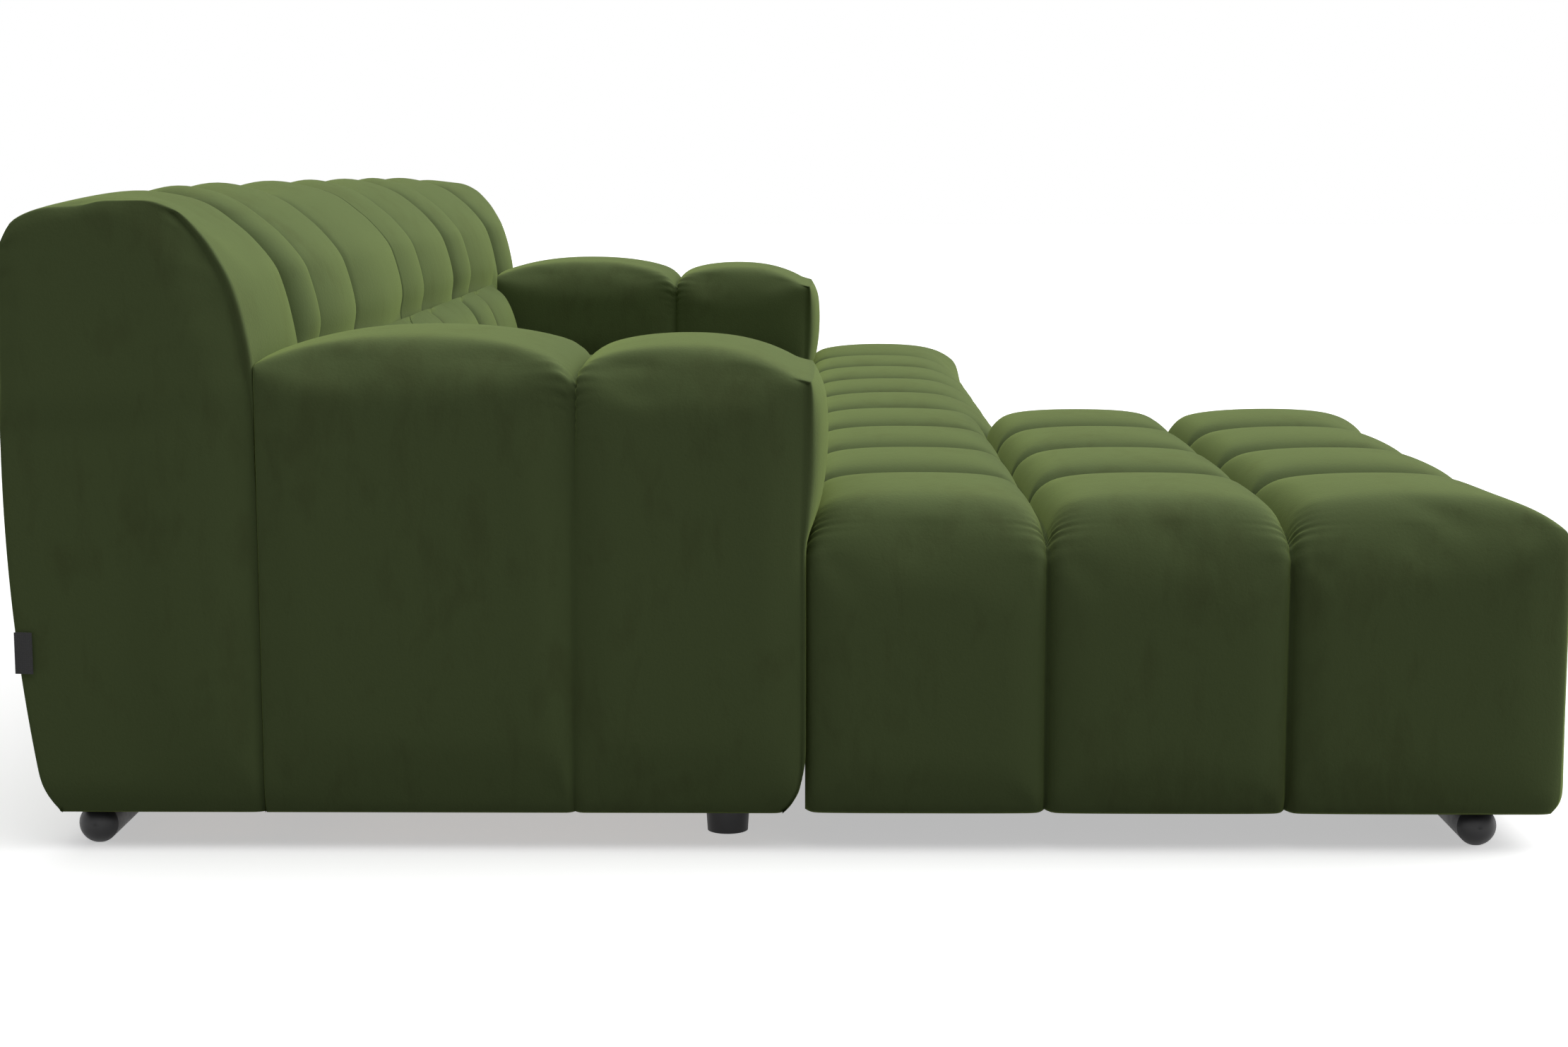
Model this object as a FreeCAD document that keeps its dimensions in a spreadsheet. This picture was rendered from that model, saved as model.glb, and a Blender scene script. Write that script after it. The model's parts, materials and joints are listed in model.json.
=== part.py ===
"""Two-module lounge sofa: tufted velvet upholstery over timber frames.

Millimetres, +Z up, the front faces -Y, the lounge module is at -X. In each module a place is given as
u, the distance from that module's outer end, v, the distance in front of the rear face, and the height z.
"""
import FreeCAD
import Part
import Sketcher
import os
import re

from FreeCAD import Rotation, Vector

doc = FreeCAD.newDocument("lounge_sofa")

# Driving dimensions
SIZES = [
    ("column_pitch", 280, "width of one tuft column"),
    ("end_swell", 50, "extra width of the outermost column"),
    ("row_pitch", 277, "depth of one tuft row"),
    ("front_swell", 38, "extra depth of the front row"),
    ("lounge_columns", 4, "tuft columns in the lounge module"),
    ("sofa_columns", 5, "tuft columns in the sofa module"),
    ("lounge_rows", 5, "tuft rows in the lounge module"),
    ("sofa_rows", 3, "tuft rows in the sofa module"),
    ("arm_rows", 2, "tuft rows beside an arm"),
    ("module_gap", 4, "gap between the two modules"),
    ("soft_gap", 4, "gap between upholstered blocks of one module"),
    ("fit_gap", 1, "clearance of a frame inside its padding"),
    ("ground_gap", 45, "height of the upholstery above the floor"),
    ("hem_radius", 26, "round of the lower edges"),
    ("quilt_thickness", 22, "padding between the foam and the corner of four tufts"),
    ("tuft_seam_rise", 20, "rise from a tuft corner to the middle of a seam"),
    ("tuft_crest_rise", 42, "rise from the middle of a seam to the crest"),
    ("seam_draw", 9, "how far a seam draws the side panels in"),
    ("shoulder_reach", 62, "width of the roll at an exposed edge"),
    ("shoulder_drop", 74, "height of the roll at an exposed edge"),
    ("crown_drop", 12, "fall of a crest before the roll starts"),
    ("front_reach", 66, "length of the roll at the front edge"),
    ("panel_bulge", 10, "bulge of a front panel between its seams"),
    ("cover_wall", 32, "padding on the sides of the base"),
    ("joint_wall", 20, "padding on the side that meets the other module"),
    ("rail_thickness", 25, "thickness of the base rails"),
    ("rail_height", 190, "height of the base rails"),
    ("cross_rail_height", 120, "height of the stretchers"),
    ("foot_block_width", 60, "width of a foot block"),
    ("foot_block_height", 70, "height of a foot block"),
    ("foot_block_length", 240, "length of a foot block"),
    ("dust_thickness", 1.5, "thickness of the dust cover"),
    ("webbing_thickness", 3, "thickness of the webbing"),
    ("strap_width", 70, "width of a webbing strap"),
    ("strap_pitch", 125, "spacing of the seat straps"),
    ("strap_margin", 30, "distance of the first seat strap from the rear of the seat"),
    ("foam_thickness", 90, "thickness of the foam slab"),
    ("back_depth", 287, "depth of the back at the arms"),
    ("back_rear_pad", 60, "padding behind the back's frame"),
    ("back_end_pad", 60, "padding at the ends of the back's frame"),
    ("back_front_pad", 62, "padding in front of the back's frame"),
    ("back_frame_height", 556, "height of the back's frame"),
    ("back_top_pad", 149, "padding above the back's frame"),
    ("back_top_depth", 209, "depth of the back at its front top edge"),
    ("back_top_fall", 15, "fall from the crest to the front top edge"),
    ("back_corner", 55, "round of the rear top edge"),
    ("lounge_fold_a", 0.283, "share of the lounge's length at its first back fold"),
    ("lounge_fold_b", 0.402, "share of the lounge's length at its second back fold"),
    ("lounge_fold_c", 0.659, "share of the lounge's length at its third back fold"),
    ("sofa_fold_a", 0.138, "share of the sofa's length at its first back fold"),
    ("sofa_fold_b", 0.435, "share of the sofa's length at its second back fold"),
    ("sofa_fold_c", 0.58, "share of the sofa's length at its third back fold"),
    ("sofa_fold_d", 0.842, "share of the sofa's length at its fourth back fold"),
    ("channel_draw", 16, "how far a channel seam draws in"),
    ("channel_swell", 12, "how far a channel swells out"),
    ("rib_thickness", 18, "thickness of the plywood ribs and boards"),
    ("rib_slope_height", 120, "height over which a back rib narrows"),
    ("back_strap_pitch", 95, "spacing of the back straps"),
    ("lumbar_depth", 68, "depth of the lumbar roll"),
    ("lumbar_height", 296, "height of the lumbar roll above the webbing"),
    ("lumbar_tuck", 25, "height of the crease above the lumbar roll"),
    ("lumbar_lip", 10, "depth of the lumbar roll at its top"),
    ("lumbar_draw", 13, "how far a lumbar seam draws in"),
    ("arm_pad_outer", 40, "padding on the outer side of an arm's frame"),
    ("arm_pad_end", 42, "padding at the ends of an arm's frame"),
    ("arm_frame_height", 426, "height of an arm's frame"),
    ("arm_notch_pad", 75, "padding above an arm's frame at its notch"),
    ("arm_rear_rise", 48, "rise from the notch to the rear pillow's crest"),
    ("arm_front_rise", 37, "rise from the notch to the front pillow's crest"),
    ("arm_rear_length", 356, "length of the rear pillow"),
    ("arm_shoulder", 58, "width of the roll along an arm"),
    ("arm_shoulder_drop", 64, "height of the roll along an arm"),
    ("arm_bulge", 25, "bulge of an arm's front above the seat"),
    ("arm_lip", 11, "reach of the top of an arm's front past its foot"),
    ("bar_diameter", 46, "diameter of a bar foot"),
    ("bar_length", 220, "length of a bar foot"),
    ("bar_dome", 16, "length of a bar foot's domed end"),
    ("bar_inset", 30, "distance of a bar foot from the outer end"),
    ("support_diameter", 54, "diameter of a support foot at its top"),
    ("support_taper", 6, "how much narrower a support foot is at the floor"),
    ("support_inset", 112, "distance of a support foot from the outer end"),
    ("support_setback", 88, "distance of a support foot from the arm's front"),
    ("bolt_diameter", 8, "diameter of a frame bolt"),
    ("bolt_head", 16, "diameter of a frame bolt's head"),
    ("bolt_head_height", 5, "height of a frame bolt's head"),
    ("bolt_inset", 110, "distance of a frame bolt from the end of its joint"),
    ("tee_flange", 22, "diameter of a tee nut's flange"),
    ("tee_flange_height", 2, "thickness of a tee nut's flange"),
    ("tee_barrel", 11, "diameter of a tee nut's barrel"),
    ("tee_barrel_length", 14, "length of a tee nut's barrel"),
    ("hole_gap", 0.4, "clearance on the diameter of a hole"),
    ("dowel_diameter", 9, "diameter of a foot dowel"),
    ("dowel_low", 24, "depth of a dowel in a foot"),
    ("dowel_high", 15, "depth of a dowel in the frame"),
    ("plate_length", 110, "length of a connector plate"),
    ("plate_width", 44, "width of a connector plate"),
    ("plate_thickness", 3, "thickness of a connector plate"),
    ("plate_inset", 160, "distance of a connector plate from the end of its rail"),
    ("stud_diameter", 9, "diameter of a connector stud"),
    ("stud_head", 16, "diameter of a connector stud's head"),
    ("stud_head_height", 4, "height of a connector stud's head"),
    ("stud_depth", 30, "depth of studs and screws in a rail"),
    ("screw_diameter", 5, "diameter of a connector screw"),
]

# Places worked out from the driving dimensions
LAYOUT = [
    ("least_channel", "column_pitch / 3"),
    ("half_width", "(lounge_columns + sofa_columns) * column_pitch / 2 + end_swell"),
    ("arm_width", "column_pitch + end_swell"),
    ("arm_inner", "arm_width - soft_gap"),
    ("seat_rear", "back_depth + lumbar_depth"),
    ("arm_seam", "seat_rear + arm_rows * row_pitch"),
    ("arm_front", "arm_seam - soft_gap"),
    ("lounge_length", "lounge_columns * column_pitch + end_swell - module_gap / 2"),
    ("sofa_length", "sofa_columns * column_pitch + end_swell - module_gap / 2"),
    ("lounge_front", "seat_rear + lounge_rows * row_pitch + front_swell"),
    ("sofa_front", "seat_rear + sofa_rows * row_pitch + front_swell"),
    ("half_depth", "lounge_front / 2"),
    ("rail_bottom", "ground_gap + dust_thickness"),
    ("rail_top", "rail_bottom + rail_height"),
    ("web_top", "rail_top + webbing_thickness"),
    ("foam_top", "web_top + foam_thickness"),
    ("corner_height", "foam_top + quilt_thickness"),
    ("seam_height", "corner_height + tuft_seam_rise"),
    ("crest_height", "seam_height + tuft_crest_rise"),
    ("outer_face", "cover_wall + fit_gap"),
    ("notch_face", "arm_seam + cover_wall + fit_gap"),
    ("board_top", "ground_gap + rib_thickness"),
    ("back_frame_top", "ground_gap + back_frame_height"),
    ("back_crest", "back_frame_top + back_top_pad"),
    ("back_front_top", "back_crest - back_top_fall"),
    ("back_frame_rear", "back_rear_pad + fit_gap"),
    ("back_rib_front", "back_depth - back_front_pad"),
    ("back_rib_foot", "back_depth - rail_thickness"),
    ("back_slope_start", "web_top + lumbar_height + lumbar_tuck"),
    ("lumbar_top", "web_top + lumbar_height"),
    ("arm_frame_top", "ground_gap + arm_frame_height"),
    ("arm_notch_height", "arm_frame_top + arm_notch_pad"),
    ("arm_rear", "back_depth + fit_gap"),
    ("arm_notch", "arm_rear + arm_rear_length"),
    ("arm_rail_outer", "arm_width - rail_thickness"),
    ("arm_frame_outer", "arm_pad_outer + fit_gap"),
    ("arm_frame_rear", "arm_rear + arm_pad_end"),
    ("arm_frame_front", "arm_front - arm_pad_end"),
    ("bolt_height", "rail_bottom + rail_height / 2"),
    ("rear_bar_line", "back_frame_rear + bar_diameter / 2"),
]

sizes_sheet = doc.addObject("Spreadsheet::Sheet", "Sizes")
layout_sheet = doc.addObject("Spreadsheet::Sheet", "Layout")
SHEET_OF = {alias: "Sizes" for alias, value, note in SIZES}
SHEET_OF.update({alias: "Layout" for alias, formula in LAYOUT})


def bound(formula):
    """Puts the sheet's name before every alias in a formula."""
    return re.sub(r"[a-z_]+", lambda word: SHEET_OF[word.group()] + "." + word.group(), formula)


for row, (alias, value, note) in enumerate(SIZES, 1):
    sizes_sheet.set(f"A{row}", note)
    sizes_sheet.set(f"B{row}", str(value))
    sizes_sheet.setAlias(f"B{row}", alias)
doc.recompute()
for row, (alias, formula) in enumerate(LAYOUT, 1):
    layout_sheet.set(f"A{row}", alias)
    layout_sheet.set(f"B{row}", "=" + bound(formula).replace("Layout.", ""))
    layout_sheet.setAlias(f"B{row}", alias)
    doc.recompute()


def size(alias):
    """The number that a cell holds."""
    sheet = sizes_sheet if SHEET_OF[alias] == "Sizes" else layout_sheet
    return float(sheet.get(alias))


NODES = []

# Shares of a length that shape the curves, and counts
FRONT_EDGE_LEVEL = 0.5
BACK_BELLY_DEPTH = 0.58
BACK_BELLY_HEIGHT = 0.5
LUMBAR_BELLY_DEPTH = 0.78
LUMBAR_BELLY_HEIGHT = 0.6
ARM_BELLY_HEIGHT = 0.55
ARM_REAR_SHARE = 1 / 3
DOWEL_SHARES = (0.25, 0.75)
RIB_SHARES = (0, 0.5, 1)
BACK_STRAPS = 2

def node(piece, label):
    """Names a finished piece, which is written to a file of its own."""
    piece.Label = label
    NODES.append(piece)
    return piece


class Module:
    """One half of the sofa, with u counted from its own outer end."""

    def __init__(self, name, turn, other_rows, fold_tags):
        self.name = name
        self.fold_sizes = [f"{name}_fold_{tag}" for tag in fold_tags]
        self.turn = turn
        self.columns = int(size(name + "_columns"))
        self.rows = int(size(name + "_rows"))
        self.open_row = int(size(other_rows))
        self.length = name + "_length"
        self.front = name + "_front"
        self.inner_face = f"({self.length} - joint_wall - fit_gap)"
        self.front_face = f"({self.front} - cover_wall - fit_gap)"

    def point(self, u, v, z):
        return Vector(self.turn * (u - size("half_width")), size("half_depth") - v, z)

    def label(self, piece):
        return self.name + "_" + piece

    def seams(self):
        """The u of the outer end, of every column seam and of the inner end."""
        inner = [size("end_swell") + size("column_pitch") * count for count in range(1, self.columns)]
        return [0.0] + inner + [size(self.length)]

    def folds(self):
        """The u of the outer end, of every fold of the back and of the inner end."""
        return [0.0] + [size(alias) * size(self.length) for alias in self.fold_sizes] + [size(self.length)]

    def lumbar_folds(self):
        """The u of the arm, of every fold well beyond it and of the inner end."""
        arm = size("arm_width")
        return [arm] + [fold for fold in self.folds() if fold > arm + size("least_channel")]


lounge = Module("lounge", 1, "sofa_rows", "abc")
sofa = Module("sofa", -1, "lounge_rows", "abcd")
MODULES = [lounge, sofa]


def place(piece, module, u, v, z):
    """Binds the low corner or the low end of a primitive; u and v are (near, far) formulas."""
    u_low = f"-half_width + ({u[0]})" if module.turn > 0 else f"half_width - ({u[1]})"
    piece.setExpression("Placement.Base.x", bound(u_low))
    piece.setExpression("Placement.Base.y", bound(f"half_depth - ({v[1]})"))
    piece.setExpression("Placement.Base.z", bound(z))


def box(name, module, u, v, z):
    piece = doc.addObject("Part::Box", module.label(name))
    piece.setExpression("Length", bound(f"({u[1]}) - ({u[0]})"))
    piece.setExpression("Width", bound(f"({v[1]}) - ({v[0]})"))
    piece.setExpression("Height", bound(f"({z[1]}) - ({z[0]})"))
    place(piece, module, u, v, z[0])
    return piece


def rod(name, module, axis, diameter, u, v, z):
    """A cylinder along u, v or z; the other two places are those of its centre line."""
    piece = doc.addObject("Part::Cylinder", module.label(name))
    span = {"u": u, "v": v, "z": z}[axis]
    turns = {"u": Rotation(Vector(0, 1, 0), 90), "v": Rotation(Vector(1, 0, 0), -90), "z": Rotation()}
    piece.Placement.Rotation = turns[axis]
    piece.setExpression("Radius", bound(f"({diameter}) / 2"))
    piece.setExpression("Height", bound(f"({span[1]}) - ({span[0]})"))
    u = u if axis == "u" else (u, u)
    v = v if axis == "v" else (v, v)
    place(piece, module, u, v, z[0] if axis == "z" else z)
    return piece


def joined(kind, name, shapes):
    """A fusion, common part or compound of several pieces."""
    piece = doc.addObject(kind, name)
    if kind == "Part::Compound":
        piece.Links = shapes
    else:
        piece.Shapes = shapes
        piece.Refine = True
    return piece


def group(name, shapes):
    return joined("Part::Compound", name, shapes)


def cut(base, tools, name):
    """Takes the tools out of a piece."""
    piece = doc.addObject("Part::Cut", name)
    piece.Base = base
    piece.Tool = tools[0] if len(tools) == 1 else joined("Part::MultiFuse", name + "_tools", tools)
    return piece


def outline(start, *steps):
    """A closed wire of lines, and of arcs where a step is a (through, end) pair."""
    edges = []
    here = start
    for step in steps + (start,):
        end = step[1] if isinstance(step, tuple) else step
        if here.distanceToPoint(end) > Part.Precision.confusion():
            curve = Part.Arc(here, step[0], end) if isinstance(step, tuple) else Part.LineSegment(here, end)
            edges.append(curve.toShape())
        here = end
    return Part.Wire(edges)


def section(name, wire):
    piece = doc.addObject("Part::Feature", name)
    piece.Shape = wire
    return piece


def loft(name, sections):
    piece = doc.addObject("Part::Loft", name)
    piece.Sections = sections
    piece.Solid = True
    piece.Ruled = False
    return piece


def prism(name, wire, direction, formula):
    """A wire drawn out along a direction by a length."""
    piece = doc.addObject("Part::Extrusion", name)
    piece.Base = section(name + "_outline", wire)
    piece.DirMode = "Custom"
    piece.Dir = direction
    piece.setExpression("LengthFwd", bound(formula))
    piece.Solid = True
    return piece


QUARTER = 0.5 ** 0.5


def roll(from_point, to_point, corner):
    """The step of a quarter-round from one point to another, bulging towards a corner."""
    middle = (from_point + to_point) * 0.5
    return (middle + (corner - middle) * (2 * QUARTER - 1), to_point)


def mix(low, high, share):
    return low + (high - low) * share


# Seats: each tuft row is lofted from seam to crest to seam, and the rows are fused


def seat_section(module, v, seams, level, drop, rolled):
    """The outline across a seat; level is 0 on a row seam and 1 on a crest."""
    floor = size("ground_gap")
    hem = size("hem_radius")
    seam_z = mix(size("corner_height"), size("seam_height"), level) - drop
    crest_z = mix(size("seam_height"), size("crest_height"), level) - drop
    roll_z = crest_z - size("crown_drop")
    side_z = roll_z - size("shoulder_drop")
    draw = size("seam_draw") * (1 - level)
    reach = size("shoulder_reach")

    def at(u, z):
        return module.point(u, v, z)

    outer = seams[0] + (draw if rolled[0] else 0)
    inner = seams[-1] - (draw if rolled[1] else 0)
    steps = []
    if rolled[1]:
        steps.append(at(inner - hem, floor))
        steps.append(roll(at(inner - hem, floor), at(inner, floor + hem), at(inner, floor)))
        steps.append(at(inner, side_z))
        steps.append(roll(at(inner, side_z), at(inner - reach, roll_z), at(inner, roll_z)))
    else:
        steps.append(at(inner, floor))
        steps.append(at(inner, seam_z))
    for near, far in reversed(list(zip(seams, seams[1:]))):
        left = at(near, seam_z)
        if near == seams[0] and rolled[0]:
            left = at(outer + reach, roll_z)
        steps.append((at((near + far) / 2, crest_z), left))
    start = at(outer, floor)
    if rolled[0]:
        start = at(outer + hem, floor)
        steps.append(roll(at(outer + reach, roll_z), at(outer, side_z), at(outer, roll_z)))
        steps.append(at(outer, floor + hem))
        steps.append(roll(at(outer, floor + hem), start, at(outer, floor)))
    return outline(start, *steps)


def seat_row(module, count):
    """One tuft row of a seat, from its rear seam to its front seam or front edge."""
    rear = size("seat_rear") + count * size("row_pitch")
    crest = rear + size("row_pitch") / 2
    front = rear + size("row_pitch")
    outer_rolled = count >= size("arm_rows")
    inner_rolled = count >= module.open_row
    seams = module.seams() if outer_rolled else module.seams()[1:]
    stations = [(rear, 0, 0), (crest, 1, 0), (front, 0, 0)]
    if count == module.rows - 1:
        edge = size(module.front)
        overhang = size("panel_bulge")
        reach = size("front_reach")
        stations[2:] = [(edge - reach, 1, size("crown_drop")),
                        (edge + overhang, FRONT_EDGE_LEVEL, size("shoulder_drop"))]
    sections = []
    for index, (v, level, drop) in enumerate(stations):
        wire = seat_section(module, v, seams, level, drop, (outer_rolled, inner_rolled))
        sections.append(section(module.label(f"row_{count}_section_{index}"), wire))
    return loft(module.label(f"row_{count}"), sections)


def front_panel_prism(module):
    """The plan of a seat, with a front edge that bulges between the column seams."""
    rear = size("seat_rear") - size("soft_gap")
    edge = size(module.front) - size("panel_bulge")
    floor = size("ground_gap")
    margin = size("soft_gap")
    seams = module.seams()
    steps = [module.point(seams[-1] + margin, rear, floor), module.point(seams[-1] + margin, edge, floor)]
    steps.append(module.point(seams[-1], edge, floor))
    for near, far in reversed(list(zip(seams, seams[1:]))):
        through = module.point((near + far) / 2, size(module.front), floor)
        steps.append((through, module.point(near, edge, floor)))
    steps.append(module.point(-margin, edge, floor))
    wire = outline(module.point(-margin, rear, floor), *steps)
    return prism(module.label("front_panel_plan"), wire, Vector(0, 0, 1), "crest_height")


def seat_side_prism(module):
    """The side view of a seat, with a round lower front edge."""
    rear = size("seat_rear") - size("soft_gap")
    front = size(module.front)
    floor = size("ground_gap")
    hem = size("hem_radius")
    proud = size("soft_gap")
    margin = -size("soft_gap")

    def at(v, z):
        return module.point(margin, v, z)

    steps = [
        at(front - hem, floor),
        roll(at(front - hem, floor), at(front + proud, floor + hem), at(front + proud, floor)),
        at(front + proud, size("crest_height") + proud),
        at(rear, size("crest_height") + proud),
    ]
    wire = outline(at(rear, floor), *steps)
    along = Vector(module.turn, 0, 0)
    return prism(module.label("seat_side"), wire, along, f"{module.length} + soft_gap * 2")


def seat_cavity(module):
    """The hollow under the quilting that the base's frame and foam fill."""
    floor = ("ground_gap - soft_gap", "foam_top")
    front = f"{module.front} - cover_wall"
    main = box("seat_cavity", module, ("arm_width - soft_gap", f"{module.length} - joint_wall"),
               ("seat_rear - soft_gap", front), floor)
    wing = box("wing_cavity", module, ("cover_wall", "arm_width"), ("arm_seam + cover_wall", front), floor)
    return [main, wing]


def seat_upholstery(module):
    rows = [seat_row(module, count) for count in range(module.rows)]
    body = joined("Part::MultiFuse", module.label("seat_rows"), rows)
    shaped = joined("Part::MultiCommon", module.label("seat_block"),
                    [body, front_panel_prism(module), seat_side_prism(module)])
    piece = cut(shaped, seat_cavity(module), module.label("seat_hollow"))
    node(piece, module.label("seat_upholstery"))


def wing_and_main(name, module, z):
    """A slab in two parts: behind the arm's front only the width between arm and joint is filled."""
    main = box(name + "_main", module, ("arm_width", module.inner_face), ("seat_rear", module.front_face), z)
    wing = box(name + "_wing", module, ("outer_face", "arm_width"), ("notch_face", module.front_face), z)
    return joined("Part::MultiFuse", module.label(name), [main, wing])


def seat_straps(module):
    """Elastic straps across the base, resting on the long rails."""
    rear = size("seat_rear") + size("strap_margin")
    front = size(module.front) - size("cover_wall") - size("fit_gap") - size("rail_thickness")
    count = int((front - rear - size("strap_width")) / size("strap_pitch")) + 1
    straps = []
    for index in range(count):
        start = f"seat_rear + strap_margin + {index} * strap_pitch"
        beyond_arm = rear + index * size("strap_pitch") > size("notch_face")
        outer = "outer_face" if beyond_arm else "arm_width"
        straps.append(box(f"strap_{index}", module, (outer, module.inner_face),
                          (start, f"{start} + strap_width"), ("rail_top", "web_top")))
    node(group(module.label("straps"), straps), module.label("seat_webbing"))


def bolt_places(module):
    """Where frame bolts pass: (axis, place along the joint)."""
    arm = [("u", "arm_frame_rear + bolt_inset"), ("u", "arm_frame_front - bolt_inset")]
    back = [("v", "arm_width + bolt_inset"), ("v", f"{module.inner_face} - bolt_inset")]
    return arm, back


def bolt_rod(name, module, axis, along, start, end, diameter):
    """A round piece on a frame bolt's line; start and end are distances from the joint into the base."""
    if axis == "u":
        return rod(name, module, "u", diameter, (f"arm_width + ({start})", f"arm_width + ({end})"),
                   along, "bolt_height")
    return rod(name, module, "v", diameter, along, (f"back_depth + ({start})", f"back_depth + ({end})"),
               "bolt_height")


def bored(piece, module, places, start, end, diameter, name):
    """Drills the frame bolts' holes through a rail."""
    tools = []
    for index, (axis, along) in enumerate(places):
        tools.append(bolt_rod(f"{name}_hole_{index}", module, axis, along, start, end, diameter))
    return cut(piece, tools, module.label(name + "_bored"))


def base_frame(module):
    """Timber rails under the seat."""
    inside = ("arm_width + rail_thickness", f"{module.inner_face} - rail_thickness")
    tall = ("rail_bottom", "rail_top")
    front_rear = f"{module.front_face} - rail_thickness"
    arm_bolts, back_bolts = bolt_places(module)
    through = ("-soft_gap", "rail_thickness + soft_gap", "bolt_diameter + hole_gap")
    middle = box("middle", module, ("arm_width", "arm_width + rail_thickness"),
                 ("back_depth", front_rear), tall)
    rear = box("rear", module, inside, ("back_depth", "back_depth + rail_thickness"), tall)
    node(bored(middle, module, arm_bolts, *through, "middle"), module.label("middle_rail"))
    node(bored(rear, module, back_bolts, *through, "rear"), module.label("rear_rail"))
    node(box("front", module, ("outer_face", module.inner_face), (front_rear, module.front_face), tall),
         module.label("front_rail"))
    node(box("outer", module, ("outer_face", "outer_face + rail_thickness"),
             ("notch_face", front_rear), tall), module.label("outer_rail"))
    node(box("notch", module, ("outer_face + rail_thickness", "arm_width"),
             ("notch_face", "notch_face + rail_thickness"), tall), module.label("notch_rail"))
    inner = box("inner", module, (inside[1], module.inner_face), ("back_depth", front_rear), tall)
    node(cut(inner, connector_holes(module), module.label("inner_drilled")), module.label("inner_rail"))
    low = ("rail_bottom", "rail_bottom + cross_rail_height")
    stretchers = []
    for index in range(1, module.rows - 1):
        start = f"seat_rear + {index} * row_pitch"
        stretchers.append(box(f"stretcher_{index}", module, inside,
                              (start, f"{start} + rail_thickness"), low))
    node(group(module.label("stretchers"), stretchers), module.label("cross_rails"))


def front_bar_line(module):
    return f"({module.front_face} - rail_thickness - foot_block_width / 2)"


def bar_starts(module):
    """Where the bar feet of a module start, from its outer end."""
    return ["bar_inset", f"{module.length} - bar_inset - bar_length"]


def bar_lines(module):
    return ["rear_bar_line", front_bar_line(module)]


def foot_blocks(module):
    front = f"{module.front_face} - rail_thickness"
    high = ("rail_bottom", "rail_bottom + foot_block_height")
    spans = [("outer_face + rail_thickness", "outer_face + rail_thickness + foot_block_length"),
             (f"{module.inner_face} - rail_thickness - foot_block_length",
              f"{module.inner_face} - rail_thickness")]
    blocks = [box(f"block_{index}", module, span, (f"{front} - foot_block_width", front), high)
              for index, span in enumerate(spans)]
    piece = cut(group(module.label("blocks"), blocks), dowels("block_hole", module, "hole_gap", 1),
                module.label("blocks_drilled"))
    node(piece, module.label("foot_blocks"))


def dowels(name, module, gap, line=None):
    """The foot dowels of a module, or the holes for them where a gap is given."""
    lines = bar_lines(module) if line is None else [bar_lines(module)[line]]
    pieces = []
    for row, along in enumerate(lines):
        for end, start in enumerate(bar_starts(module)):
            for share in DOWEL_SHARES:
                pieces.append(rod(f"{name}_{row}_{end}_{len(pieces)}", module, "z", f"dowel_diameter + {gap}",
                                  f"{start} + bar_length * {share}", along,
                                  ("ground_gap - dowel_low", "ground_gap + dowel_high")))
    return pieces


def support_dowel(name, module, gap):
    return rod(name, module, "z", f"dowel_diameter + {gap}", "support_inset", "arm_front - support_setback",
               ("ground_gap - dowel_low", "ground_gap + dowel_high"))


def dust_cover(module):
    cloth = wing_and_main("dust_cloth", module, ("ground_gap", "rail_bottom"))
    rear = box("dust_rear", module, ("arm_width", module.inner_face), ("back_depth", "seat_rear"),
               ("ground_gap", "rail_bottom"))
    whole = joined("Part::MultiFuse", module.label("dust_whole"), [cloth, rear])
    tools = dowels("dust_hole", module, "hole_gap", 1) + connector_holes(module, "dust")
    node(cut(whole, tools, module.label("dust_cut")), module.label("dust_cover"))


# Backs: each channel is lofted from seam to crest to seam along the sofa


def back_section(module, u, level):
    """The side view of a back; level is -1 on a channel seam, 0 at an end panel and 1 on a crest."""
    give = level * size("channel_swell") if level > 0 else level * size("channel_draw")
    floor = size("ground_gap")
    hem = size("hem_radius")
    crest_z = size("back_crest") + min(give, 0)
    corner = size("back_corner")
    front_top_v = size("back_top_depth") + give / 2
    front_top_z = size("back_front_top") + min(give, 0)
    depth = size("back_depth")
    slope_z = size("back_slope_start")
    middle_v = mix(front_top_v, depth, BACK_BELLY_DEPTH) + give
    middle_z = mix(front_top_z, slope_z, BACK_BELLY_HEIGHT)

    def at(v, z):
        return module.point(u, v, z)

    top_rear = at(corner, crest_z - size("back_top_fall") / 2)
    rear_top = at(0, crest_z - size("back_top_fall") / 2 - corner)
    return outline(
        at(hem, floor),
        roll(at(hem, floor), at(0, floor + hem), at(0, floor)),
        rear_top,
        roll(rear_top, top_rear, at(0, crest_z - size("back_top_fall") / 2)),
        (at((corner + front_top_v) / 2, crest_z), at(front_top_v, front_top_z)),
        (at(middle_v, middle_z), at(depth, slope_z)),
        at(depth, floor),
    )


def channels(module, name, make_section, seams, end_levels, seam_level):
    """Lofts one channel between each pair of seams and fuses them."""
    stations = [(seams[0], end_levels[0])]
    for near, far in zip(seams, seams[1:]):
        stations.append(((near + far) / 2, 1))
        stations.append((far, seam_level))
    stations[-1] = (seams[-1], end_levels[1])
    sections = [section(module.label(f"{name}_section_{index}"), make_section(module, u, level))
                for index, (u, level) in enumerate(stations)]
    lofts = [loft(module.label(f"{name}_{start // 2}"), sections[start:start + 3])
             for start in range(0, len(sections) - 1, 2)]
    return joined("Part::MultiFuse", module.label(name + "s"), lofts)


def back_ends(module):
    return "back_end_pad + fit_gap", module.inner_face


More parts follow.
